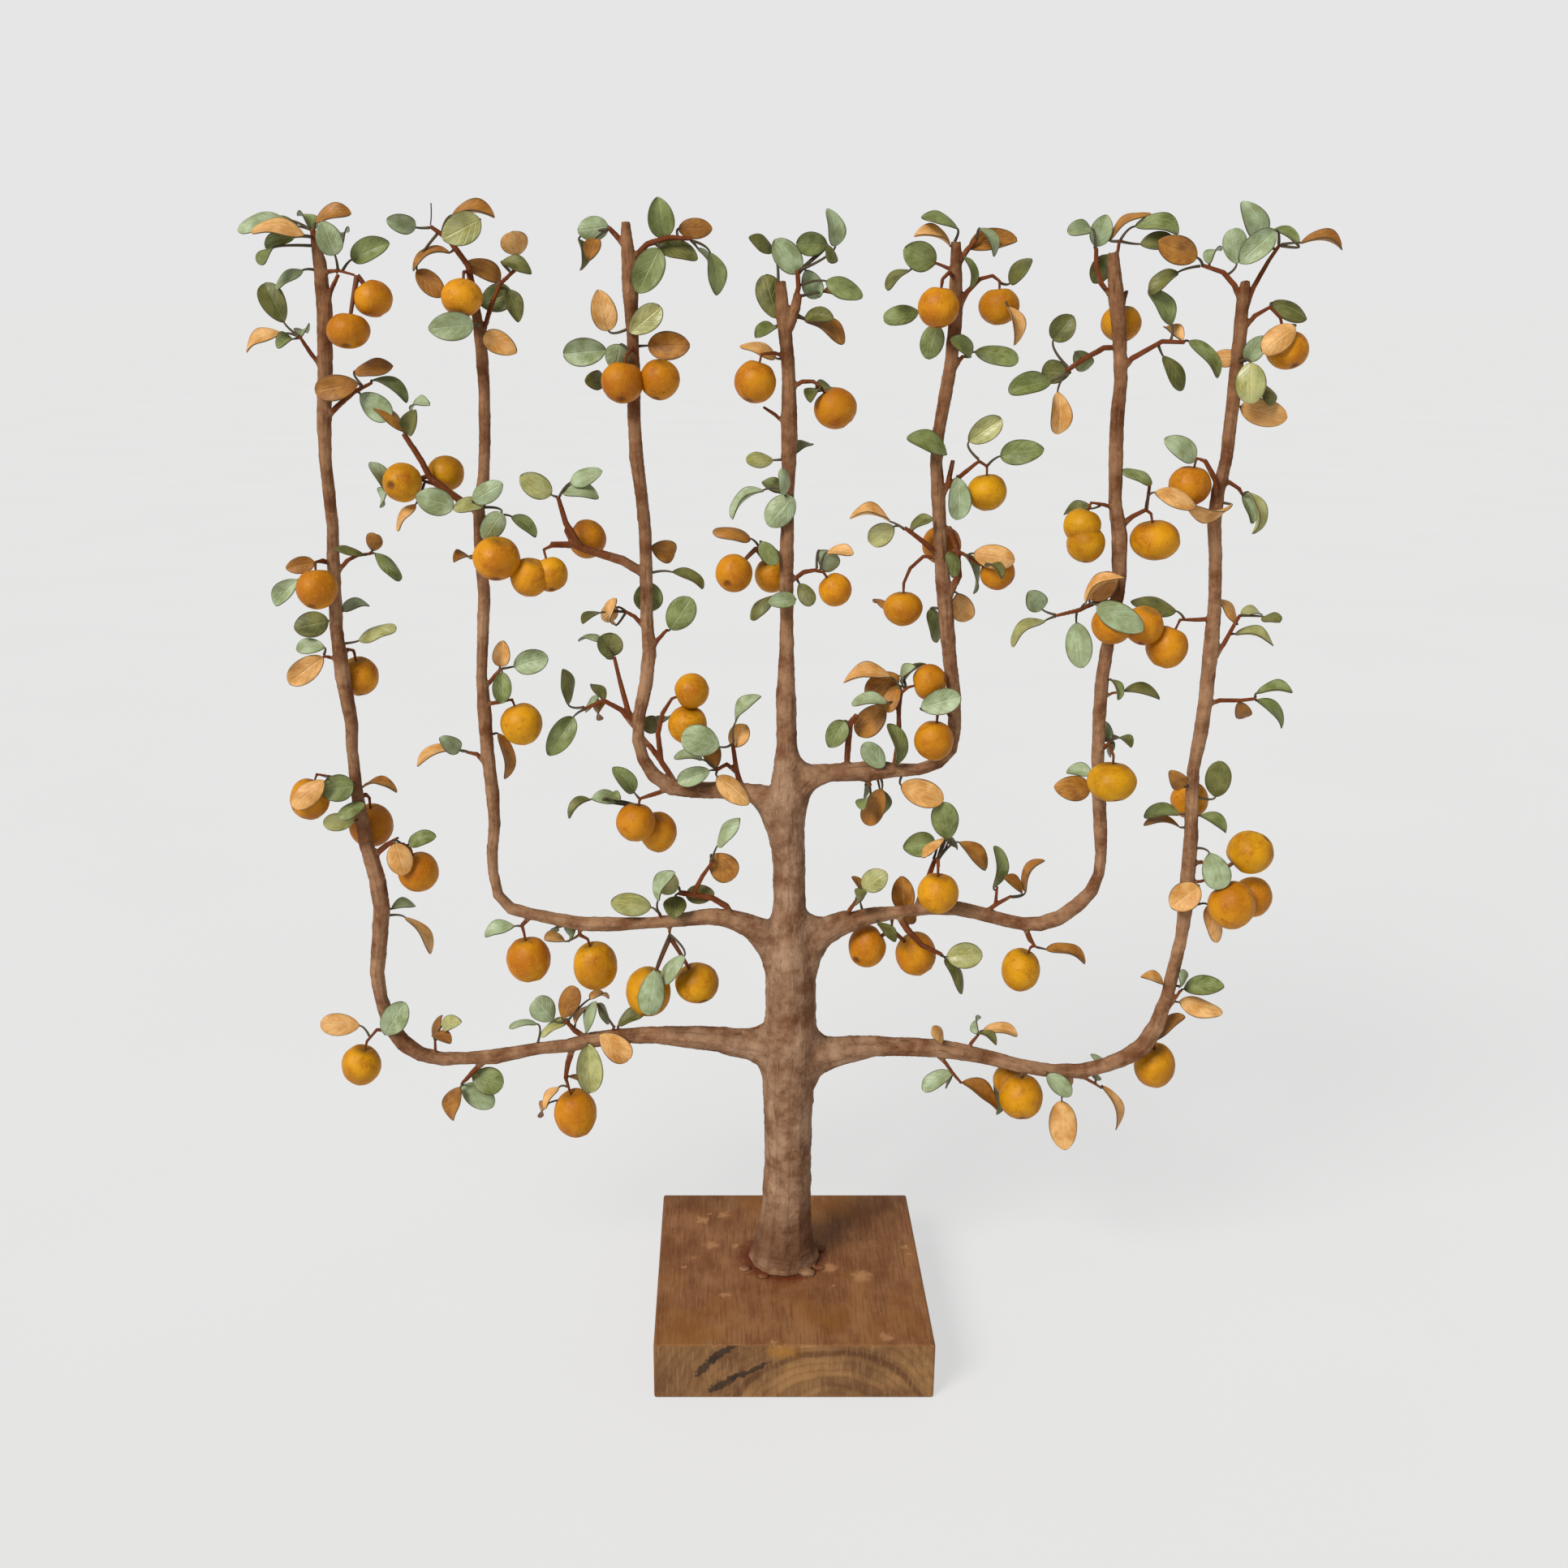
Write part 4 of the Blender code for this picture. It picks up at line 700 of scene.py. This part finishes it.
def remeshed_clay(foot):
    """The CAD clay, its fillets and crumbs, as one closed skin of small even faces."""
    shape = swollen(CLAY, CLAY_SWELL)
    inside = swollen(FILLERS, FILLER_SWELL, foot + FILLER_GAP)
    filler = bpy.data.meshes.new("filler")
    inside.to_mesh(filler)
    shape.from_mesh(filler)
    for web in WEBS:
        shape.from_mesh(web_mesh(*web))
    for x, y, radius in CRUMBS:
        lump = Matrix.Translation((x * MM, y * MM, foot)) @ Matrix.Diagonal((1, 0.8, 0.55, 1))
        bmesh.ops.create_icosphere(shape, subdivisions=3, radius=radius * MM, matrix=lump)
    mesh = bpy.data.meshes.new("bark")
    shape.to_mesh(mesh)
    shape.free()
    inside.free()
    source = bpy.data.objects.new("bark", mesh)
    bpy.context.scene.collection.objects.link(source)
    remesh = source.modifiers.new("remesh", "REMESH")
    remesh.mode = "VOXEL"
    remesh.voxel_size = VOXEL * MM
    apply_modifiers(source)
    return source


def soften(source):
    """Smooths thick clay more than twigs, and the creases by the arms' roots most of all."""
    girth = girths(source.data)
    forks = np.array([place(x, z) for x, z in FORKS])
    near = np.linalg.norm(vectors(source.data)[:, None] - forks[None], axis=2).min(axis=1) / MM
    thick = np.clip((girth - 2.2) / 9, 0.02, 1)
    crease = (np.clip((CREASE_REACH - near) / CREASE_FADE, 0, 1)
              * np.clip((girth - CREASE_GIRTH) / GIRTH_FADE, 0, 1))
    for title, values in (("thick", thick), ("crease", crease)):
        group = source.vertex_groups.new(name=title)
        steps = np.round(values * WEIGHT_STEPS).astype(int)
        for step in np.unique(steps):
            group.add(np.nonzero(steps == step)[0].tolist(), float(step) / WEIGHT_STEPS, "REPLACE")
    for title, rounds in (("crease", CREASE_ROUNDS), ("thick", THICK_ROUNDS)):
        smooth = source.modifiers.new("smooth", "SMOOTH")
        smooth.factor = 0.5
        smooth.iterations = rounds
        smooth.vertex_group = title
    apply_modifiers(source)


def scratched(mesh, foot):
    """The skin's points with scratches along its grain, knobs and a rough foot."""
    points, normals = vectors(mesh) / MM, vectors(mesh, "normal")
    girth = girths(mesh)
    radial = normals * girth[:, None] / 2
    grain = radial * 0.55 + (points - radial) * 0.05
    height = np.zeros(len(points))
    # Stripes follow the grain and knobs don't. The foot is rougher, for its lowest 45 mm.
    for index, (g, p) in enumerate(zip(grain, points)):
        stripe = noise.noise(Vector(g)) + 0.5 * noise.noise(Vector(g * 2.1))
        knob = noise.noise(Vector(p * 0.16)) + 0.5 * noise.noise(Vector(p * 0.45))
        height[index] = stripe * 0.6 + max(knob, -0.25) * 1.2
    depth = BARK_DEPTH * np.clip(girth / 8, 0.2, 1.3)
    base = np.clip((45 - points[:, 2]) / 12, 0, 1)
    for index in np.nonzero(base > 0)[0]:
        height[index] += 1.6 * base[index] * noise.noise(Vector(points[index] * 0.22))
    points += normals * (height * depth)[:, None]
    points[:, 2] = np.maximum(points[:, 2], foot / MM)
    return points * MM, grain, girth


def make_bark(material):
    """One clay skin over trunk and arms, blended where they meet, then scratched and parted."""
    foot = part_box("trunk_clay")[0].z
    source = remeshed_clay(foot)
    soften(source)
    part_bark(source.data, *scratched(source.data, foot), material)
    bpy.data.objects.remove(source, do_unlink=True)


def girths(mesh):
    """The thickness of the clay under each vertex, in mm, by casting a ray inwards."""
    points, normals = vectors(mesh), vectors(mesh, "normal")
    tree = BVHTree.FromPolygons([Vector(p) for p in points],
                                [tuple(face.vertices) for face in mesh.polygons])
    values = np.zeros(len(points))
    for index, (point, normal) in enumerate(zip(points, normals)):
        hit = tree.ray_cast(Vector(point - normal * 0.0002), Vector(-normal), 0.05)
        values[index] = 1.0 if hit[3] is None else hit[3] / MM
    edges = np.zeros(len(mesh.edges) * 2, np.int32)
    mesh.edges.foreach_get("vertices", edges)
    return spread(np.clip(values, 0.8, 32), edges.reshape(-1, 2), 12)


def part_bark(mesh, points, grain, girth, material):
    """Gives each CAD clay node its own share of the skin, cut where the nodes meet."""
    tree = vertex_tree([NODES[name].data for name in CLAY])
    corners = np.zeros(len(mesh.loops), np.int32)
    mesh.loops.foreach_get("vertex_index", corners)
    starts = np.zeros(len(mesh.polygons), np.int32)
    mesh.polygons.foreach_get("loop_start", starts)
    quads = corners[starts[:, None] + np.arange(4)]
    owner = np.array([tree.find(Vector(point))[1] for point in points])
    whole = bpy.data.meshes.new("whole")
    whole.from_pydata(points.tolist(), [], quads.tolist())
    whole.update()
    shading = vectors(whole, "normal")
    face_owner = owner[quads[:, 0]]
    for number, name in enumerate(CLAY):
        mine = quads[face_owner == number]
        used, local = np.unique(mine, return_inverse=True)
        piece = mesh_object(name.replace("_clay", "") + "_skin", points[used].tolist(),
                            local.reshape(-1, 4).tolist(), material)
        piece.data.normals_split_custom_set_from_vertices(shading[used].tolist())
        add_values(piece, "grain", grain[used])
        add_values(piece, "girth", girth[used])
        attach(piece, "root")
        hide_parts(name)
        BARK[name] = piece


class Nearest:
    """Finds the nearest point of the clay and which arm it is on."""

    def __init__(self):
        self.names = list(BARK)
        self.tree = vertex_tree([piece.data for piece in BARK.values()])

    def __call__(self, point):
        where, number, distance = self.tree.find(point)
        return where, self.names[number], distance


FRUIT_RINGS, FRUIT_SEGMENTS = 26, 40
FORK_RADII = (1.4, 1.0, 0.8)              # at the fork's apex, its bow and in the fruit
FORK_BOW = 0.0015                         # how far a fork's wire rises in the middle, in metres


def ball_surface(centre, half_width, half_height, stem, seed, yellow):
    """Vertices, quads and look values of one fruit, with its stem and blossom dimples."""
    rng = random.Random(seed)
    drift = Vector((rng.uniform(-50, 50), rng.uniform(-50, 50), rng.uniform(-50, 50)))
    chance = rng.random()
    side = stem.orthogonal().normalized()
    third = stem.cross(side)
    bloom = (-stem + Vector((rng.uniform(-0.3, 0.3), -rng.uniform(-0.3, 0.8), 0))).normalized()
    size = Vector((half_width, half_width, half_height)) * MM * 1.01
    rings, segments = FRUIT_RINGS, FRUIT_SEGMENTS
    vertices, values, faces = [], [], []

    def index(ring, step):
        if ring == 0:
            return 0
        if ring == rings:
            return len(vertices) - 1
        return 1 + (ring - 1) * segments + step % segments

    for ring in range(rings + 1):
        polar = math.pi * ring / rings
        for step in range(segments if 0 < ring < rings else 1):
            turn = math.tau * step / segments
            way = (stem * math.cos(polar) + side * math.sin(polar) * math.cos(turn)
                   + third * math.sin(polar) * math.sin(turn))
            # A dimple at the stem, and a rimmed one at the blossom's place.
            reach = 1 - 0.17 * math.exp(-(polar / 0.30) ** 2)
            off = way.angle(bloom)
            reach += 0.02 * math.exp(-((off - 0.27) / 0.1) ** 2) - 0.11 * math.exp(-(off / 0.17) ** 2)
            reach += 0.035 * noise.noise(way * 1.2 + drift) + 0.012 * noise.noise(way * 4 + drift)
            vertices.append(centre + Vector(w * s for w, s in zip(way, size)) * reach)
            values.append((-math.cos(off) if off < 0.6 else max(math.cos(polar), 0), yellow, chance))
    for ring in range(rings):
        for step in range(segments):
            loop = [index(ring, step), index(ring + 1, step), index(ring + 1, step + 1),
                    index(ring, step + 1)]
            faces.append([v for n, v in enumerate(loop) if v not in loop[:n]])
    return vertices, faces, values


def make_fruits(material, stem_material, nearest):
    """Every fruit node, rebuilt round with its dimples. Returns all balls as (centre, radius)."""
    balls = []
    for node in sorted(name for name in NODES if name.startswith("fruit_")):
        short_name = node.removeprefix("fruit_")
        data, fork = CLUSTERS.get(short_name, (None, None))
        if data is None:
            low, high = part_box(node)
            size = (high - low) / 2 / MM
            data = [((low + high) / 2, (size.x + size.y) / 2, size.z)]
        else:
            data = [(place(*row[:3]), row[3], row[4]) for row in data]
        vertices, faces, values = [], [], []
        for number, (centre, half_width, half_height) in enumerate(data):
            if fork is not None:
                stem = (place(*fork) - centre).normalized()
            elif number == 0:
                stem = (nearest(centre)[0] - centre).normalized()
            else:
                stem = Vector((0.25, -0.25, 1)).normalized()
            yellow = YELLOW.get(short_name + str(number), YELLOW.get(short_name, PLAIN_YELLOW))
            more, quads, looks = ball_surface(centre, half_width, half_height, stem,
                                              node + str(number), yellow)
            faces += [[v + len(vertices) for v in quad] for quad in quads]
            vertices += more
            values += looks
            balls.append((centre, max(half_width, half_height) * MM))
        piece = mesh_object(node + "_clay", vertices, faces, material)
        add_values(piece, "fruit", values)
        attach(piece, "root")
        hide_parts(node)
        if fork is not None:
            apex = place(*fork)
            paths = []
            for centre, _, _ in data:
                bow = (apex + centre) / 2 + Vector((0, 0, FORK_BOW))
                paths.append(list(zip((apex, bow, centre), FORK_RADII)))
            wires(node + "_fork", paths, stem_material)
    return balls


LEAF_STEPS, LEAF_LANES = 14, 8
LEAF_THICKNESS = 0.7
STALK_RADII = (0.75, 0.55, 0.5, 0.4)      # at the clay, near the leaf, at its base and in it
# A bare wire end that stands up above the second upright's top, as x, z points.
LOOSE_WIRE, LOOSE_RADIUS = [(-173.5, 598.5), (-172.6, 602.7), (-172.7, 608.5)], 0.3
# The depths tried for a leaf that is in front of the clay and fruit, behind, or neither.
LEAF_DEPTHS = {"F": range(5, 23, 2), "B": range(-5, -23, -2), "": range(-13, 16, 2)}
# A leaf's shortest length and least full width are drawn from these.
LEAF_LENGTHS, LEAF_WIDTHS = (13.5, 16), (12, 14)
# How far leaves keep from fruit and clay, and from one another, and how far they look, in metres.
CLEAR_OF_SOLID, CLEAR_OF_LEAF, NEIGHBOURHOOD = 0.0012, 0.0018, 0.03
DEPTH_COST = 0.012


def outline(u, widest):
    """Half width of a leaf along its length, 1 at its widest."""
    return (u / widest) ** (1.1 * widest) * ((1 - u) / (1 - widest)) ** (1.1 - 1.1 * widest)


def blade(row, depth, slant, seed):
    """The leaf's surface: an array of points [along, across, xyz] in metres, and its axis."""
    base_x, base_z, tip_x, tip_z, width = row[:5]
    rng = random.Random(seed)
    seen = math.hypot(tip_x - base_x, tip_z - base_z)
    length = max(seen * 1.01, rng.uniform(*LEAF_LENGTHS))
    lean = math.sqrt(max(length ** 2 - seen ** 2, 0)) * slant
    base, tip = place(base_x, base_z, depth), place(tip_x, tip_z, depth + lean)
    full = max(width, min(0.62 * length, rng.uniform(*LEAF_WIDTHS)))
    roll = math.acos(min(1, width / full))
    # The leaf faces the photo's viewpoint, then rolls until it looks as narrow as it should.
    axis = (tip - base).normalized()
    eye = (EYE - (base + tip) / 2).normalized()
    face = (eye - axis * axis.dot(eye)).normalized()
    side = axis.cross(face)
    if (side.z < 0) != row[5].endswith("S"):
        roll = -roll
    up = face * math.cos(roll) + side * math.sin(roll)
    side = side * math.cos(roll) - face * math.sin(roll)
    narrow = 1 - width / full
    arch = (0.05 + 0.16 * narrow) * rng.uniform(0.7, 1.3)
    cup = rng.uniform(0.12, 0.42) * rng.choice((1, 1, 1, -0.6))
    ripple, phase = rng.uniform(0.015, 0.045), rng.uniform(0, math.tau)
    droop = rng.uniform(0.0, 0.10)
    widest = rng.uniform(0.42, 0.60)
    points = np.zeros((LEAF_STEPS + 1, LEAF_LANES + 1, 3))
    long, half = length * MM, full / 2 * MM
    for i in range(LEAF_STEPS + 1):
        u = 0.5 - 0.5 * math.cos(math.pi * (0.015 + 0.97 * i / LEAF_STEPS))
        spine = base + axis * (u * long) + up * (arch * long * 4 * u * (1 - u))
        spine -= up * (droop * long * max(0, u - 0.55) ** 2 * 4)
        for j in range(LEAF_LANES + 1):
            v = 2 * j / LEAF_LANES - 1
            out = half * outline(u, widest)
            lift = cup * out * abs(v) ** 1.6 * 1.4
            lift += ripple * long * math.sin(7 * u + phase + v) * v * v
            points[i, j] = spine + side * (v * out * math.cos(cup * abs(v))) + up * lift
    return points, base, axis


class Crowd:
    """What the leaves have to stay clear of: fruits, clay and the leaves placed so far."""

    def __init__(self, balls, nearest):
        self.centres = np.array([centre for centre, _ in balls])
        self.radii = np.array([radius for _, radius in balls])
        self.nearest = nearest
        self.leaves = np.zeros((0, 3))

    def cost(self, points):
        """How far a leaf comes too close to them, summed over some of its points."""
        some = points[::3, ::2].reshape(-1, 3)
        reach = np.linalg.norm(some[:, None] - self.centres[None], axis=2) - self.radii[None]
        total = 4 * np.sum(np.clip(CLEAR_OF_SOLID - reach, 0, None))
        for point in some[len(some) // 4:]:
            total += 2 * max(CLEAR_OF_SOLID - self.nearest(Vector(point))[2], 0)
        if len(self.leaves):
            near = self.leaves[np.linalg.norm(self.leaves - some.mean(0), axis=1) < NEIGHBOURHOOD]
            if len(near):
                gaps = np.linalg.norm(some[:, None] - near[None], axis=2).min(1)
                total += 1.5 * np.sum(np.clip(CLEAR_OF_LEAF - gaps, 0, None))
        return total / MM

    def add(self, points):
        self.leaves = np.vstack([self.leaves, points[::2, ::2].reshape(-1, 3)])


def make_leaves(materials, painted_shade_edge, stalk_material, balls, nearest):
    """All the leaves, gathered into one piece per arm, and their wire stalks likewise."""
    letters = list(materials)
    crowd = Crowd(balls, nearest)
    gathered = {name: ([], [], [], []) for name in CLAY}
    stalks = {name: [] for name in CLAY}
    for number, row in enumerate(LEAVES):
        letter, where = row[5][0], row[5][1:2]
        best = None
        for depth in LEAF_DEPTHS[where]:
            for slant in (1, -1):
                points, base, axis = blade(row, depth, slant, number)
                cost = crowd.cost(points) + DEPTH_COST * abs(depth)
                if best is None or cost < best[0]:
                    best = (cost, points, base, axis)
        _, points, base, axis = best
        crowd.add(points)
        anchor, arm, _ = nearest(base)
        vertices, faces, values, colours = gathered[arm]
        start = len(vertices)
        chance = random.Random(number + 5000).random()
        for i in range(LEAF_STEPS + 1):
            for j in range(LEAF_LANES + 1):
                vertices.append(points[i, j].tolist())
                values.append((i / LEAF_STEPS, 2 * j / LEAF_LANES - 1, chance))
        lanes = LEAF_LANES + 1
        for i in range(LEAF_STEPS):
            for j in range(LEAF_LANES):
                corner = start + i * lanes + j
                faces.append((corner, corner + 1, corner + lanes + 1, corner + lanes))
                colours.append(letters.index(letter))
        middle = points[1, LEAF_LANES // 2]
        approach = base - axis * min(0.35 * (base - anchor).length, 0.004)
        stalks[arm].append(list(zip((anchor, approach, base, Vector(middle)), STALK_RADII)))
    stalks["arm_mid_left"].append([(place(*point), LOOSE_RADIUS) for point in LOOSE_WIRE])
    for arm, (vertices, faces, values, colours) in gathered.items():
        title = arm.replace("_clay", "")
        piece = mesh_object("leaves_" + title, vertices, faces, materials[letters[0]])
        for letter in letters[1:]:
            piece.data.materials.append(materials[letter])
        piece.data.materials.append(painted_shade_edge)
        piece.data.polygons.foreach_set("material_index", colours)
        add_values(piece, "leaf", values)
        solid = piece.modifiers.new("thickness", "SOLIDIFY")
        solid.thickness = LEAF_THICKNESS * MM
        solid.offset = 0
        # The side faces of the leaves take the last material, a dark paint that is painted shade along
        # their edges.
        solid.material_offset_rim = len(letters)
        finer = piece.modifiers.new("finer", "SUBSURF")
        finer.levels = finer.render_levels = 1
        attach(piece, "root")
        wires("stalks_" + title, stalks[arm], stalk_material)


SKY, SUN = 0.40, 3.0                      # brightness of the sky's light and of the sun's
SUN_FROM, SUN_DEGREES_WIDE = Vector((-1.25, -1.35, 1.5)), 24
# The floor is a light table: it reflects a little and glows the rest of its brightness.
FLOOR_TONE, FLOOR_GLOW, BACKDROP = 0.2, 0.59, 0.79
FLOOR_RADIUS, FLOOR_SIDES = 60, 96        # the radius in metres
# The photo's camera, in metres and degrees, as solved from the block's corners.
CAMERA_AT, CAMERA_TILT, LENS, SHIFT = (-0.0362, -0.812, 0.570), 17, 37.27, 0.03675


def make_stage():
    """A wide pale floor under an even sky, lit by one soft sun from the upper left."""
    world = bpy.data.worlds.new("studio")
    bpy.context.scene.world = world
    world.use_nodes = True
    nodes, links = world.node_tree.nodes, world.node_tree.links
    light = nodes["Background"]
    light.inputs["Color"].default_value = (SKY, SKY, SKY, 1.0)
    seen = nodes.new("ShaderNodeBackground")
    seen.inputs["Color"].default_value = (BACKDROP, BACKDROP, BACKDROP, 1.0)
    path, choice = nodes.new("ShaderNodeLightPath"), nodes.new("ShaderNodeMixShader")
    links.new(path.outputs["Is Camera Ray"], choice.inputs[0])
    links.new(light.outputs[0], choice.inputs[1])
    links.new(seen.outputs[0], choice.inputs[2])
    links.new(choice.outputs[0], nodes["World Output"].inputs["Surface"])
    turns = [math.tau * n / FLOOR_SIDES for n in range(FLOOR_SIDES)]
    ring = [(FLOOR_RADIUS * math.cos(turn), FLOOR_RADIUS * math.sin(turn), 0) for turn in turns]
    floor = mesh_object("floor", ring, [list(range(FLOOR_SIDES))], floor_material(), False)
    lamp = bpy.data.lights.new("sun", "SUN")
    lamp.energy = SUN
    lamp.angle = math.radians(SUN_DEGREES_WIDE)
    lamp.color = (1.0, 0.98, 0.95)
    sun = bpy.data.objects.new("sun", lamp)
    sun.rotation_euler = (-SUN_FROM).to_track_quat("-Z", "Y").to_euler()
    bpy.context.scene.collection.objects.link(sun)
    bpy.context.scene.view_settings.view_transform = "Standard"


def make_camera():
    lens = bpy.data.cameras.new("camera")
    lens.lens = LENS
    lens.shift_x = SHIFT
    camera = bpy.data.objects.new("camera", lens)
    camera.location = CAMERA_AT
    camera.rotation_euler = (math.radians(90 - CAMERA_TILT), 0, 0)
    bpy.context.scene.collection.objects.link(camera)
    bpy.context.scene.camera = camera


def dress_cad():
    """Materials for the CAD nodes that stay in view as they are."""
    looks = {"base_block": wood_material(), "base_washer": steel_material("zinc_washer", 0.62, 0.35),
             "base_nut": steel_material("zinc_nut", 0.58, 0.38),
             "centre_rod": steel_material("zinc_rod", 0.55, 0.35)}
    wire = steel_material("annealed_wire", 0.30, 0.5)
    for name in ["base_block", "base_washer", "base_nut", *FILLERS]:
        data = NODES[name].data
        data.materials.clear()
        data.materials.append(looks.get(name, wire))


make_camera()
make_stage()
dress_cad()
make_bark(bark_material())
clay_at = Nearest()
stalk = plain_clay("stalk_wire", linear(46, 36, 26), linear(92, 80, 54), 200)
twig_stem = plain_clay("fruit_stem", linear(84, 40, 16), linear(124, 68, 34), 200)
fruit_balls = make_fruits(fruit_material(), twig_stem, clay_at)
leaf_looks = {letter: leaf_material(*paint) for letter, paint in LEAF_PAINTS.items()}
# Painted shade: a dark paint for the leaves' thin side faces, for the shade along their edges.
painted_shade_edge = plain_clay("leaf_edge", linear(52, 44, 24), linear(98, 80, 46), 300)
make_leaves(leaf_looks, painted_shade_edge, stalk, fruit_balls, clay_at)
